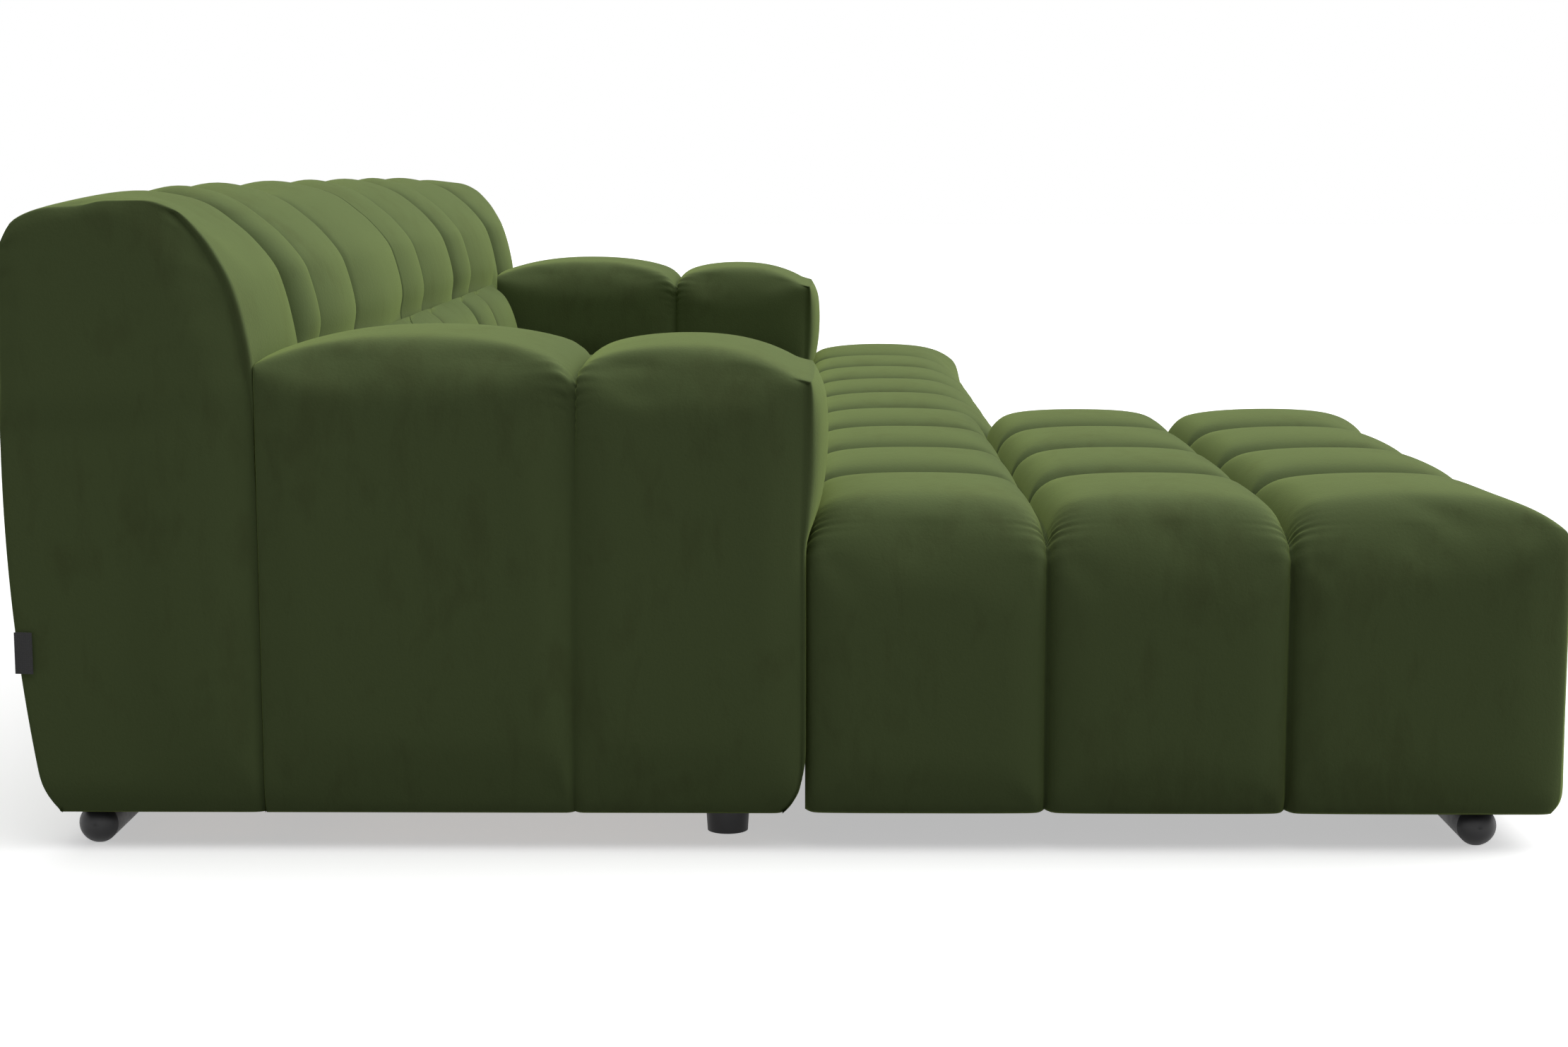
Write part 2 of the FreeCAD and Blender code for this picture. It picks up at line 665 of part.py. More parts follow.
def back_upholstery(module):
    body = channels(module, "channel", back_section, module.folds(), (0, -1), -1)
    ends = ("back_end_pad", f"{module.length} - joint_wall")
    floor = "ground_gap - soft_gap"
    upper = box("back_cavity", module, ends,
                ("back_rear_pad", "back_rib_front + webbing_thickness + fit_gap"),
                (floor, "back_frame_top + fit_gap"))
    slope = box("slope_cavity", module, ends, ("back_rear_pad", "back_rib_foot + fit_gap"),
                (floor, "rail_top + rib_slope_height"))
    mouth = box("back_mouth", module, ends, ("back_rear_pad", "back_depth + soft_gap"),
                (floor, "rail_top + fit_gap"))
    node(cut(body, [upper, slope, mouth], module.label("back_hollow")), module.label("back_upholstery"))


def back_rib(module, index, near):
    """A plywood rib: deep at the foot, narrower above the seat."""
    rear = size("back_frame_rear")
    foot = size("back_rib_foot")
    front = size("back_rib_front")

    def at(v, z):
        return module.point(near, v, z)

    low = size("board_top")
    top = size("back_frame_top") - size("rail_thickness")
    wire = outline(at(rear, low), at(foot, low), at(foot, size("rail_top")),
                   at(front, size("rail_top") + size("rib_slope_height")), at(front, top), at(rear, top))
    return prism(module.label(f"rib_{index}"), wire, Vector(module.turn, 0, 0), "rib_thickness")


def back_frame(module):
    start, end = back_ends(module)
    board = box("bottom_board", module, (start, end), ("back_frame_rear", "back_rib_foot"),
                ("ground_gap", "board_top"))
    node(cut(board, dowels("board_hole", module, "hole_gap", 0), module.label("board_drilled")),
         module.label("back_bottom_board"))
    first = size("back_end_pad") + size("fit_gap")
    last = size(module.length) - size("joint_wall") - size("fit_gap") - size("rib_thickness")
    ribs = [back_rib(module, index, mix(first, last, share)) for index, share in enumerate(RIB_SHARES)]
    node(group(module.label("ribs"), ribs), module.label("back_ribs"))
    node(box("top_rail", module, (start, end), ("back_frame_rear", "back_rib_front"),
             ("back_frame_top - rail_thickness", "back_frame_top")), module.label("back_top_rail"))
    lower = box("lower_rail", module, (start, end), ("back_rib_foot", "back_depth"),
                ("ground_gap", "rail_top"))
    arm_bolts, back_bolts = bolt_places(module)
    node(bored(lower, module, back_bolts, "-rail_thickness - soft_gap", "soft_gap", "tee_barrel + hole_gap",
               "lower_rail"), module.label("back_lower_rail"))
    straps = []
    for index in range(BACK_STRAPS):
        low = f"rail_top + rib_slope_height + {index} * back_strap_pitch"
        straps.append(box(f"back_strap_{index}", module, (start, end),
                          ("back_rib_front", "back_rib_front + webbing_thickness"),
                          (low, f"{low} + strap_width")))
    node(group(module.label("back_straps"), straps), module.label("back_webbing"))


def lumbar_section(module, u, level):
    """The side view of the lumbar roll; level is -1 on a seam and 1 on a crest."""
    give = min(level, 0) * size("lumbar_draw")
    rear = size("back_depth")
    front = size("seat_rear") - size("soft_gap")
    low = size("web_top")
    top = size("lumbar_top") + give
    belly = size("foam_top")

    def at(v, z):
        return module.point(u, v, z)

    lip = rear + size("lumbar_lip")
    bulge_v = mix(lip, front, LUMBAR_BELLY_DEPTH) + give
    return outline(at(rear, low), at(front, low), at(front, belly),
                   (at(bulge_v, mix(belly, top, LUMBAR_BELLY_HEIGHT)), at(lip, top)), at(rear, top))


def lumbar_roll(module):
    piece = channels(module, "lumbar", lumbar_section, module.lumbar_folds(), (-1, -1), -1)
    node(piece, module.label("lumbar_roll"))


# Arms: two pillows lofted along the depth


def arm_section(module, v, rise, drawn):
    """The outline across an arm, with its crown at a rise above the notch."""
    floor = size("ground_gap")
    hem = size("hem_radius")
    draw = size("seam_draw") * drawn
    outer = draw
    inner = size("arm_inner") - draw
    crown = size("arm_notch_height") + rise
    reach = size("arm_shoulder")
    roll_z = crown - size("crown_drop")
    side_z = roll_z - size("arm_shoulder_drop")

    def at(u, z):
        return module.point(u, v, z)

    start = at(outer + hem, floor)
    return outline(
        start,
        at(inner, floor),
        at(inner, side_z),
        roll(at(inner, side_z), at(inner - reach, roll_z), at(inner, roll_z)),
        (at((outer + inner) / 2, crown), at(outer + reach, roll_z)),
        roll(at(outer + reach, roll_z), at(outer, side_z), at(outer, roll_z)),
        at(outer, floor + hem),
        roll(at(outer, floor + hem), start, at(outer, floor)),
    )


def arm_side_prism(module):
    """The side view of an arm: round lower front corner and a front that bulges above the seat."""
    rear = size("arm_rear") - size("soft_gap")
    front = size("arm_front")
    floor = size("ground_gap")
    hem = size("hem_radius")
    bulge = size("arm_bulge")
    lip = size("arm_lip")
    start_z = size("seam_height")
    top_z = size("arm_notch_height")
    ceiling = top_z + size("arm_rear_rise") + size("soft_gap")

    def at(v, z):
        return module.point(-size("soft_gap"), v, z)

    wire = outline(
        at(rear, floor),
        at(front - hem, floor),
        roll(at(front - hem, floor), at(front, floor + hem), at(front, floor)),
        at(front, start_z),
        (at(front + bulge, mix(start_z, top_z, ARM_BELLY_HEIGHT)), at(front + lip, top_z)),
        at(front + lip, ceiling),
        at(rear, ceiling),
    )
    return prism(module.label("arm_side"), wire, Vector(module.turn, 0, 0), "arm_width + soft_gap * 2")


def arm_upholstery(module):
    notch = size("arm_notch")
    rear = size("arm_rear")
    end = size("arm_front") + size("arm_bulge") + size("soft_gap")
    stations = [
        (rear, size("arm_rear_rise") * ARM_REAR_SHARE, 0),
        ((rear + notch) / 2, size("arm_rear_rise"), 0),
        (notch, 0, 1),
        ((notch + size("arm_front")) / 2, size("arm_front_rise"), 0),
        (end, 0, 0),
    ]
    sections = [section(module.label(f"arm_section_{index}"), arm_section(module, *station))
                for index, station in enumerate(stations)]
    pillows = [loft(module.label("rear_pillow"), sections[:3]),
               loft(module.label("front_pillow"), sections[2:])]
    body = joined("Part::MultiFuse", module.label("pillows"), pillows)
    shaped = joined("Part::MultiCommon", module.label("arm_block"), [body, arm_side_prism(module)])
    floor = "ground_gap - soft_gap"
    ends = ("arm_frame_rear - fit_gap", "arm_frame_front + fit_gap")
    main = box("arm_cavity", module, ("arm_pad_outer", "arm_rail_outer + fit_gap"), ends,
               (floor, "arm_frame_top + fit_gap"))
    mouth = box("arm_mouth", module, ("arm_pad_outer", "arm_width"), ends, (floor, "rail_top + fit_gap"))
    node(cut(shaped, [main, mouth], module.label("arm_hollow")), module.label("arm_upholstery"))


def arm_frame(module):
    depth = ("arm_frame_rear", "arm_frame_front")
    width = ("arm_frame_outer", "arm_rail_outer")
    board = box("arm_board", module, width, depth, ("ground_gap", "board_top"))
    node(cut(board, [support_dowel("arm_board_hole", module, "hole_gap")], module.label("arm_board_drilled")),
         module.label("arm_bottom_board"))
    arm_bolts, back_bolts = bolt_places(module)
    rail = box("arm_rail", module, ("arm_rail_outer", "arm_width"), depth, ("ground_gap", "rail_top"))
    node(bored(rail, module, arm_bolts, "-rail_thickness - soft_gap", "soft_gap", "tee_barrel + hole_gap",
               "arm_rail"), module.label("arm_inner_rail"))
    high = ("board_top", "arm_frame_top - rib_thickness")
    ribs = [box("arm_rib_rear", module, width, (depth[0], f"{depth[0]} + rib_thickness"), high),
            box("arm_rib_front", module, width, (f"{depth[1]} - rib_thickness", depth[1]), high)]
    node(group(module.label("ribs_of_arm"), ribs), module.label("arm_ribs"))
    node(box("arm_top", module, width, depth, ("arm_frame_top - rib_thickness", "arm_frame_top")),
         module.label("arm_top_board"))


# Feet


def bar_body(module, index, start, along):
    """A round bar with domed ends, turned about its own length."""
    body = doc.addObject("PartDesign::Body", module.label(f"bar_{index}"))
    sketch = body.newObject("Sketcher::SketchObject", module.label(f"bar_sketch_{index}"))
    plane = [feature for feature in body.Origin.OriginFeatures if feature.Role == "XY_Plane"][0]
    sketch.AttachmentSupport = (plane, "")
    sketch.MapMode = "FlatFace"
    length = size("bar_length")
    radius = size("bar_diameter") / 2
    dome = size("bar_dome")
    bulge = (radius ** 2 + dome ** 2) / (2 * dome)
    flat = [Vector(0, 0, 0), Vector(length, 0, 0), Vector(length - dome, radius, 0), Vector(dome, radius, 0)]
    through_far = Vector(length - bulge + (bulge ** 2 - (radius / 2) ** 2) ** 0.5, radius / 2, 0)
    through_near = Vector(length - through_far.x, radius / 2, 0)
    sketch.addGeometry([
        Part.LineSegment(flat[0], flat[1]),
        Part.Arc(flat[1], through_far, flat[2]),
        Part.LineSegment(flat[2], flat[3]),
        Part.Arc(flat[3], through_near, flat[0]),
    ])
    bind_bar_sketch(sketch)
    turned = body.newObject("PartDesign::Revolution", module.label(f"bar_turned_{index}"))
    turned.Profile = sketch
    turned.ReferenceAxis = (sketch, ["H_Axis"])
    turned.Angle = 360
    body.Tip = turned
    place(body, module, (start, f"{start} + bar_length"), (along, along), "ground_gap / 2")
    return body


def bind_bar_sketch(sketch):
    """Joins the bar's outline into a ring and ties it to the sheet; both domes are centred on the axis."""
    axis, far, side, near = range(4)
    start, end, centre = 1, 2, 3
    origin = -1
    rules = [
        ("Coincident", axis, start, origin, start),
        ("Horizontal", axis),
        ("Coincident", far, start, axis, end),
        ("Coincident", far, end, side, start),
        ("Horizontal", side),
        ("Coincident", near, start, side, end),
        ("Coincident", near, end, axis, start),
        ("PointOnObject", far, centre, axis),
        ("PointOnObject", near, centre, axis),
    ]
    for rule in rules:
        sketch.addConstraint(Sketcher.Constraint(*rule))
    measures = [
        ("bar_run", "DistanceX", (axis, start, axis, end), "bar_length"),
        ("near_dome", "DistanceX", (axis, start, side, end), "bar_dome"),
        ("far_dome", "DistanceX", (side, start, axis, end), "bar_dome"),
        ("bar_radius", "DistanceY", (axis, start, side, end), "bar_diameter / 2"),
    ]
    for name, kind, ends, formula in measures:
        number = sketch.addConstraint(Sketcher.Constraint(kind, *ends, size("bar_dome")))
        sketch.renameConstraint(number, name)
        sketch.setExpression("Constraints." + name, bound(formula))


def bar_feet(module):
    """Bars under the corners, flat on the floor and on the frame."""
    bars = []
    for along in bar_lines(module):
        for start in bar_starts(module):
            index = len(bars)
            round_bar = bar_body(module, index, start, along)
            slab = box(f"bar_slab_{index}", module, (start, f"{start} + bar_length"),
                       (f"{along} - bar_diameter", f"{along} + bar_diameter"), ("0", "ground_gap"))
            bars.append(joined("Part::MultiCommon", module.label(f"bar_flat_{index}"), [round_bar, slab]))
    holes = dowels("bar_hole", module, "hole_gap")
    piece = cut(group(module.label("bars"), bars), holes, module.label("bars_drilled"))
    node(piece, module.label("bar_feet"))


def support_foot(module):
    """A short tapered foot under the front of the arm."""
    cone = doc.addObject("Part::Cone", module.label("support_cone"))
    cone.setExpression("Radius1", bound("(support_diameter - support_taper) / 2"))
    cone.setExpression("Radius2", bound("support_diameter / 2"))
    cone.setExpression("Height", bound("ground_gap"))
    along = "arm_front - support_setback"
    place(cone, module, ("support_inset", "support_inset"), (along, along), "0")
    node(cut(cone, [support_dowel("support_hole", module, "hole_gap")], module.label("support_drilled")),
         module.label("support_foot"))


# Fasteners


def frame_fasteners():
    """Bolts and tee nuts that hold the arms and backs to the bases."""
    bolts = []
    nuts = []
    for module in MODULES:
        for axis, along in sum(bolt_places(module), []):
            tag = f"{len(bolts)}"
            shank = bolt_rod("shank_" + tag, module, axis, along,
                             "-rail_thickness - tee_flange_height", "rail_thickness", "bolt_diameter")
            head = bolt_rod("head_" + tag, module, axis, along,
                            "rail_thickness", "rail_thickness + bolt_head_height", "bolt_head")
            bolts.append(joined("Part::MultiFuse", module.label("bolt_" + tag), [shank, head]))
            flange = bolt_rod("flange_" + tag, module, axis, along,
                              "-rail_thickness - tee_flange_height", "-rail_thickness", "tee_flange")
            barrel = bolt_rod("barrel_" + tag, module, axis, along,
                              "-rail_thickness", "-rail_thickness + tee_barrel_length", "tee_barrel")
            bore = bolt_rod("bore_" + tag, module, axis, along,
                            "-rail_thickness - tee_flange_height - soft_gap", "soft_gap",
                            "bolt_diameter + hole_gap")
            solid = joined("Part::MultiFuse", module.label("tee_" + tag), [flange, barrel])
            nuts.append(cut(solid, [bore], module.label("tee_bored_" + tag)))
    node(group("bolts", bolts), "frame_bolts")
    node(group("tee_nuts", nuts), "frame_tee_nuts")


def connector_lines():
    """The v of the two connectors, behind the front rail of the shorter module and ahead of the rear rail."""
    return ["back_depth + plate_inset", f"{sofa.front_face} - rail_thickness - plate_inset"]


def connector_holes(module, layer="rail"):
    """Holes for the connector studs (lounge) or screws (sofa) through a rail or the dust cover."""
    diameter = "stud_diameter + hole_gap" if module is lounge else "screw_diameter + hole_gap"
    holes = []
    for along in connector_lines():
        for offset in ([""] if module is lounge else [" - plate_width / 4", " + plate_width / 4"]):
            holes.append(rod(f"{layer}_connector_hole_{len(holes)}", module, "z", diameter,
                             f"{module.inner_face} - rail_thickness / 2", along + offset,
                             ("ground_gap - soft_gap", "rail_bottom + stud_depth")))
    return holes


def connectors():
    """Plates under the sofa's inner rail that hook over studs under the lounge's inner rail."""
    plates = []
    studs = []
    screws = []
    below = ("ground_gap - plate_thickness", "ground_gap")
    through = ("ground_gap - plate_thickness * 2", "ground_gap + plate_thickness")
    reach = "joint_wall * 2 + fit_gap * 2 + module_gap + rail_thickness"
    for index, along in enumerate(connector_lines()):
        rail_line = f"({sofa.inner_face} - rail_thickness / 2)"
        far = f"{rail_line} + ({reach}) / 2 + plate_length / 2"
        near = f"{rail_line} + ({reach}) / 2 - plate_length / 2"
        blank = box(f"plate_{index}", sofa, (near, far),
                    (f"{along} - plate_width / 2", f"{along} + plate_width / 2"), below)
        open_slot = box(f"plate_slot_{index}", sofa, (f"{rail_line} + {reach}", far),
                        (f"{along} - stud_diameter / 2 - hole_gap",
                         f"{along} + stud_diameter / 2 + hole_gap"), through)
        round_slot = rod(f"plate_eye_{index}", sofa, "z", "stud_diameter + hole_gap * 2",
                         f"{rail_line} + {reach}", along, through)
        drilled = []
        for offset in (" - plate_width / 4", " + plate_width / 4"):
            tag = f"{index}_{len(drilled)}"
            drilled.append(rod("plate_hole_" + tag, sofa, "z", "screw_diameter + hole_gap", rail_line,
                               along + offset, through))
            screws.append(rod("screw_" + tag, sofa, "z", "screw_diameter", rail_line, along + offset,
                              ("ground_gap - plate_thickness", "rail_bottom + stud_depth")))
        plates.append(cut(blank, [open_slot, round_slot] + drilled, f"plate_cut_{index}"))
        stud_line = f"{lounge.inner_face} - rail_thickness / 2"
        shank = rod(f"stud_{index}", lounge, "z", "stud_diameter", stud_line, along,
                    ("ground_gap - plate_thickness", "rail_bottom + stud_depth"))
        head = rod(f"stud_head_{index}", lounge, "z", "stud_head", stud_line, along,
                   ("ground_gap - plate_thickness - stud_head_height", "ground_gap - plate_thickness"))
        studs.append(joined("Part::MultiFuse", f"stud_whole_{index}", [shank, head]))
    node(group("plates", plates), "connector_plates")
    node(group("studs", studs), "connector_studs")
    node(group("screws", screws), "connector_screws")


def foot_dowels():
    """Dowels that hold every foot to its board or block."""
    pins = []
    for module in MODULES:
        pins += dowels("dowel", module, "0") + [support_dowel("support_pin", module, "0")]
    node(group("pins", pins), "foot_dowels")


def build_module(module):
    seat_upholstery(module)
    node(wing_and_main("foam", module, ("web_top", "foam_top")), module.label("seat_foam"))
    seat_straps(module)
    base_frame(module)
    foot_blocks(module)
    dust_cover(module)
    back_upholstery(module)
    lumbar_roll(module)
    back_frame(module)
    arm_upholstery(module)
    arm_frame(module)
    bar_feet(module)
    support_foot(module)


for each in MODULES:
    build_module(each)
frame_fasteners()
connectors()
foot_dowels()
doc.recompute()

failed = [item.Name for item in doc.Objects if "Invalid" in item.State or "Error" in item.State]
if failed:
    raise RuntimeError("objects that did not build: " + ", ".join(failed))
for piece in NODES:
    if piece.Shape.isNull() or not piece.Shape.isValid() or not piece.Shape.Solids:
        raise RuntimeError("not a valid solid: " + piece.Label)

os.makedirs("parts", exist_ok=True)
for piece in NODES:
    piece.Shape.exportStep(os.path.join("parts", piece.Label + ".step"))
    print(piece.Label, len(piece.Shape.Solids), "solids", round(piece.Shape.Volume / 1e6, 3), "litres")
print(len(NODES), "nodes")
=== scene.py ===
# %% [markdown]
# # A tufted velvet lounge sofa
# The sofa is two upholstered modules on low black feet. The frame, the foam and the feet come from the CAD
# model. This lesson dresses that frame: every padded cover is cut as a box, sewn down along its seams and
# stuffed by a cloth simulation, and then gets its velvet. Everything is in metres, with +Z up and the seat
# facing -Y.

# %% Load the frame
import json
from types import SimpleNamespace

import bpy
import numpy as np
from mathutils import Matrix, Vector


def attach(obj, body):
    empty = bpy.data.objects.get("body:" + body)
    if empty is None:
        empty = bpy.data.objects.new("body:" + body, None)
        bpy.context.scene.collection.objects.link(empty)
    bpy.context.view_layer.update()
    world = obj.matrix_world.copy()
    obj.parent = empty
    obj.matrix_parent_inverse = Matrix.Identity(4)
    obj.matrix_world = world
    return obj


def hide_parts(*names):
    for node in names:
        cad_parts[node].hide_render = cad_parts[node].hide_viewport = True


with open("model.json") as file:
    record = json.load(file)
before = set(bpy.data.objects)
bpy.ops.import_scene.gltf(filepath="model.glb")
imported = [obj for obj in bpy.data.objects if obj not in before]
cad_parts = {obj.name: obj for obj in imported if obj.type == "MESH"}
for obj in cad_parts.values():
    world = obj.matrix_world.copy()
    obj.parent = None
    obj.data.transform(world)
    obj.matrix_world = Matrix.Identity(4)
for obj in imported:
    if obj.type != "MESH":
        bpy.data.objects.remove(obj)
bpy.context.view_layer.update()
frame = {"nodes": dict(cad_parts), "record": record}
bpy.ops.object.select_all(action="DESELECT")

# %% [markdown]
# ## Sizes that the covers share
# The two modules mirror each other, so a place is easier to give as u, the distance from a module's own
# outer end, and v, the distance in front of the sofa's rear face. The seams repeat those of the CAD model.
# A point within TOUCH of a seam lies on it, and SEAM_MARGIN is the wider measure for what lies beyond a
# seam.

# %% Sizes and places
HALF_WIDTH = 1.310
HALF_DEPTH = 0.889
FLOOR_GAP = 0.045
COLUMN = 0.280
OUTER_COLUMN = 0.330
ROW = 0.277
SEAT_REAR = 0.355
BACK_DEPTH = 0.287
ARM_INNER = 0.326
ARM_FRONT = 0.905
ARM_SEAM = 0.909
FRONT_EXTRA = 0.043
JOINT_GAP = 0.002
TOUCH = 0.0001
SEAM_MARGIN = 0.001


class Module:
    """One half of the sofa: which way u runs, how far it reaches and where its seams are."""

    def __init__(self, name, turn, columns, rows, open_row, folds):
        self.name = name
        self.turn = turn
        self.length = OUTER_COLUMN + COLUMN * (columns - 1) - JOINT_GAP
        inner_seams = [OUTER_COLUMN + COLUMN * i for i in range(columns - 1)]
        self.columns = np.array([0.0] + inner_seams + [self.length])
        self.front = SEAT_REAR + ROW * rows + FRONT_EXTRA
        self.rows = np.array([SEAT_REAR + ROW * i for i in range(rows)] + [self.front])
        self.open_from = SEAT_REAR + ROW * open_row
        self.folds = np.array([0.0] + folds + [self.length])

    def x(self, u):
        return self.turn * (u - HALF_WIDTH)

    def u(self, x):
        return HALF_WIDTH + self.turn * x


lounge = Module("lounge", 1, 4, 5, 3, [0.330, 0.470, 0.770])
sofa = Module("sofa", -1, 5, 3, 5, [0.200, 0.630, 0.840, 1.220])
print("lounge", lounge.length, lounge.front, "sofa", sofa.length, sofa.front)

# %% [markdown]
# ## Cutting a cover
# A cover starts as a cube at its size and place. Bisecting it at every seam gives edges that can be sewn
# down, and more cuts between the seams keep the quads even. One subdivide then makes the fine grid that the
# cloth needs.

# %% Cut a block at its seams
GRID = 0.014
SPLITS = 5
SQUARE_ON = 0.9


def only(piece):
    """Selects one piece and nothing else."""
    bpy.ops.object.select_all(action="DESELECT")
    piece.select_set(True)
    bpy.context.view_layer.objects.active = piece


def coordinates(piece):
    """The places of a piece's points, as rows of x, y and z."""
    places = np.empty(len(piece.data.vertices) * 3)
    piece.data.vertices.foreach_get("co", places)
    return places.reshape(-1, 3)


def move_points(piece, places):
    piece.data.vertices.foreach_set("co", np.ascontiguousarray(places, dtype=np.float32).ravel())
    piece.data.update()


def between(seams):
    """The seams of one direction, with even cuts added between them."""
    seams = np.sort(np.asarray(seams, float))
    cuts = []
    for low, high in zip(seams, seams[1:]):
        parts = max(1, round((high - low) / (GRID * (SPLITS + 1))))
        cuts.extend(np.linspace(low, high, parts, endpoint=False)[(0 if cuts else 1):])
    return [float(cut) for cut in cuts]


def block(name, low, high, seams):
    """A cube from corner to corner, cut at the seams of x, y and z. It is left in edit mode."""
    low, high = Vector(low), Vector(high)
    bpy.ops.object.select_all(action="DESELECT")
    bpy.ops.mesh.primitive_cube_add(size=1, location=(low + high) / 2, scale=high - low)
    piece = bpy.context.object
    piece.name = piece.data.name = name
    bpy.ops.object.transform_apply(location=True, rotation=True, scale=True)
    bpy.ops.object.mode_set(mode="EDIT")
    for axis, places in enumerate(seams):
        normal = [0, 0, 0]
        normal[axis] = 1
        for place in between([low[axis], *places, high[axis]]):
            point = [0, 0, 0]
            point[axis] = place
            bpy.ops.mesh.select_all(action="SELECT")
            bpy.ops.mesh.bisect(plane_co=point, plane_no=normal)
    return piece


def select_faces(piece, chosen):
    """Selects the faces whose centre and normal satisfy a test, and returns to edit mode."""
    bpy.ops.mesh.select_mode(type="FACE")
    bpy.ops.mesh.select_all(action="DESELECT")
    bpy.ops.object.mode_set(mode="OBJECT")
    for face in piece.data.polygons:
        face.select = chosen(face.center, face.normal)
    bpy.ops.object.mode_set(mode="EDIT")


def refine(piece):
    """Opens the underside, splits every quad and closes the underside with one face."""
    select_faces(piece, lambda centre, normal: normal.z < -SQUARE_ON)
    bpy.ops.mesh.delete(type="ONLY_FACE")
    bpy.ops.mesh.select_mode(type="EDGE")
    bpy.ops.mesh.select_all(action="SELECT")
    bpy.ops.mesh.subdivide(number_cuts=SPLITS)
    bpy.ops.mesh.delete_loose(use_faces=False)
    bpy.ops.mesh.select_all(action="DESELECT")
    bpy.ops.mesh.select_mode(type="VERT")
    bpy.ops.mesh.select_non_manifold()
    bpy.ops.mesh.edge_face_add()
    bpy.ops.mesh.select_all(action="SELECT")
    bpy.ops.mesh.normals_make_consistent(inside=False)
    bpy.ops.object.mode_set(mode="OBJECT")
    print(piece.name, len(piece.data.vertices), "points")


print("cuts along the lounge's rows", len(between(lounge.rows)))

# %% [markdown]
# ## Stuffing a cover
# A real cover is sewn down along its seams and pushed out by the padding between them. The same happens
# here: the seam points are pinned, a little slack is sewn in, and air pressure stands for the padding. No
# point may move further than its cap, because real padding has an end.

# %% Swell in a cloth simulation
FRAMES = 12
SLACK = 0.045
SLACK_STEPS = 10
VELVET_MASS = 0.25
VELVET_STRETCH, VELVET_SHEAR, VELVET_BEND = 30, 8, 1.2
AIR_DAMPING = 4
SOLVER_STEPS = 3
TINY = 1e-9


def swell(piece, pressure, sewn, slack, cap):
    """Pins the sewn points and lets the rest swell; no point moves further than its cap."""
    start = coordinates(piece)
    pins = piece.vertex_groups.new(name="sewn")
    pins.add(np.flatnonzero(sewn).tolist(), 1.0, "REPLACE")
    loose = piece.vertex_groups.new(name="slack")
    for step in range(1, SLACK_STEPS + 1):
        members = np.flatnonzero(np.round(np.clip(slack, 0, 1) * SLACK_STEPS) == step)
        if len(members):
            loose.add(members.tolist(), step / SLACK_STEPS, "REPLACE")
    only(piece)
    cloth = piece.modifiers.new("stuffing", "CLOTH")
    fabric = cloth.settings
    fabric.quality = SOLVER_STEPS
    fabric.mass = VELVET_MASS
    fabric.tension_stiffness = VELVET_STRETCH
    fabric.compression_stiffness = VELVET_STRETCH
    fabric.shear_stiffness = VELVET_SHEAR
    fabric.bending_stiffness = VELVET_BEND
    fabric.air_damping = AIR_DAMPING
    fabric.vertex_group_mass = "sewn"
    fabric.pin_stiffness = 1
    fabric.vertex_group_shrink = "slack"
    fabric.shrink_min = 0.0
    fabric.shrink_max = -SLACK
    fabric.use_pressure = True
    fabric.uniform_pressure_force = pressure
    fabric.effector_weights.gravity = 0
    cloth.collision_settings.use_collision = False
    cloth.collision_settings.use_self_collision = False
    for count in range(1, FRAMES + 1):
        bpy.context.scene.frame_set(count)
    bpy.ops.object.modifier_apply(modifier="stuffing")
    bpy.context.scene.frame_set(1)
    moved = coordinates(piece) - start
    length = np.linalg.norm(moved, axis=1)
    held = np.minimum(length, cap) / np.maximum(length, TINY)
    move_points(piece, start + moved * held[:, None])
    piece.vertex_groups.clear()
    print(piece.name, "moved", round(float(length.max()) * 1000, 1), "mm at most",
          round(float(length.mean()) * 1000, 2), "on average")


print("covers swell for", FRAMES, "frames")

# %% [markdown]
# ## Smoothing a cover
# The stuffed grid is smoothed by a subdivision surface. Seams would melt away in that, so their edges are
# creased first. The large face that closes the underside is taken out, because subdividing it takes very
# long.

# %% Keep seams crisp and smooth the rest


def crease(piece, sharp):
    """Keeps the edges between two sharp points crisp when the cover is smoothed."""
    ends = np.empty(len(piece.data.edges) * 2, dtype=np.int32)
    piece.data.edges.foreach_get("vertices", ends)
    ends = ends.reshape(-1, 2)
    only(piece)
    bpy.ops.object.mode_set(mode="EDIT")
    bpy.ops.mesh.select_mode(type="EDGE")
    bpy.ops.mesh.select_all(action="DESELECT")
    bpy.ops.object.mode_set(mode="OBJECT")
    piece.data.edges.foreach_set("select", sharp[ends[:, 0]] & sharp[ends[:, 1]])
    bpy.ops.object.mode_set(mode="EDIT")
    bpy.ops.transform.edge_crease(value=1.0)
    bpy.ops.object.mode_set(mode="OBJECT")


def smooth_cover(piece):
    """Opens the underside again and smooths the cover by one level of subdivision."""
    only(piece)
    bpy.ops.object.mode_set(mode="EDIT")
    bpy.ops.mesh.select_mode(type="FACE")
    bpy.ops.mesh.select_all(action="DESELECT")
    bpy.ops.mesh.select_face_by_sides(number=4, type="GREATER", extend=False)
    bpy.ops.mesh.delete(type="ONLY_FACE")
    bpy.ops.object.mode_set(mode="OBJECT")
    smooth = piece.modifiers.new("smooth", "SUBSURF")
    smooth.levels = smooth.render_levels = 1
    bpy.ops.object.modifier_apply(modifier="smooth")


def stuff(piece, pressure, sewn, slack, cap, sharp):
    swell(piece, pressure, sewn, slack, cap)
    crease(piece, sharp)
    smooth_cover(piece)
    print(piece.name, int(np.sum(sharp)), "points on sharp seams")


# %% [markdown]
# ## Puckers and hems
# Where a seam turns over a shoulder, the spare cloth gathers into small uneven folds that run away from the
# seam. They are added along the surface's normals. Underneath, the cloth is turned up into a hem and
# closed.

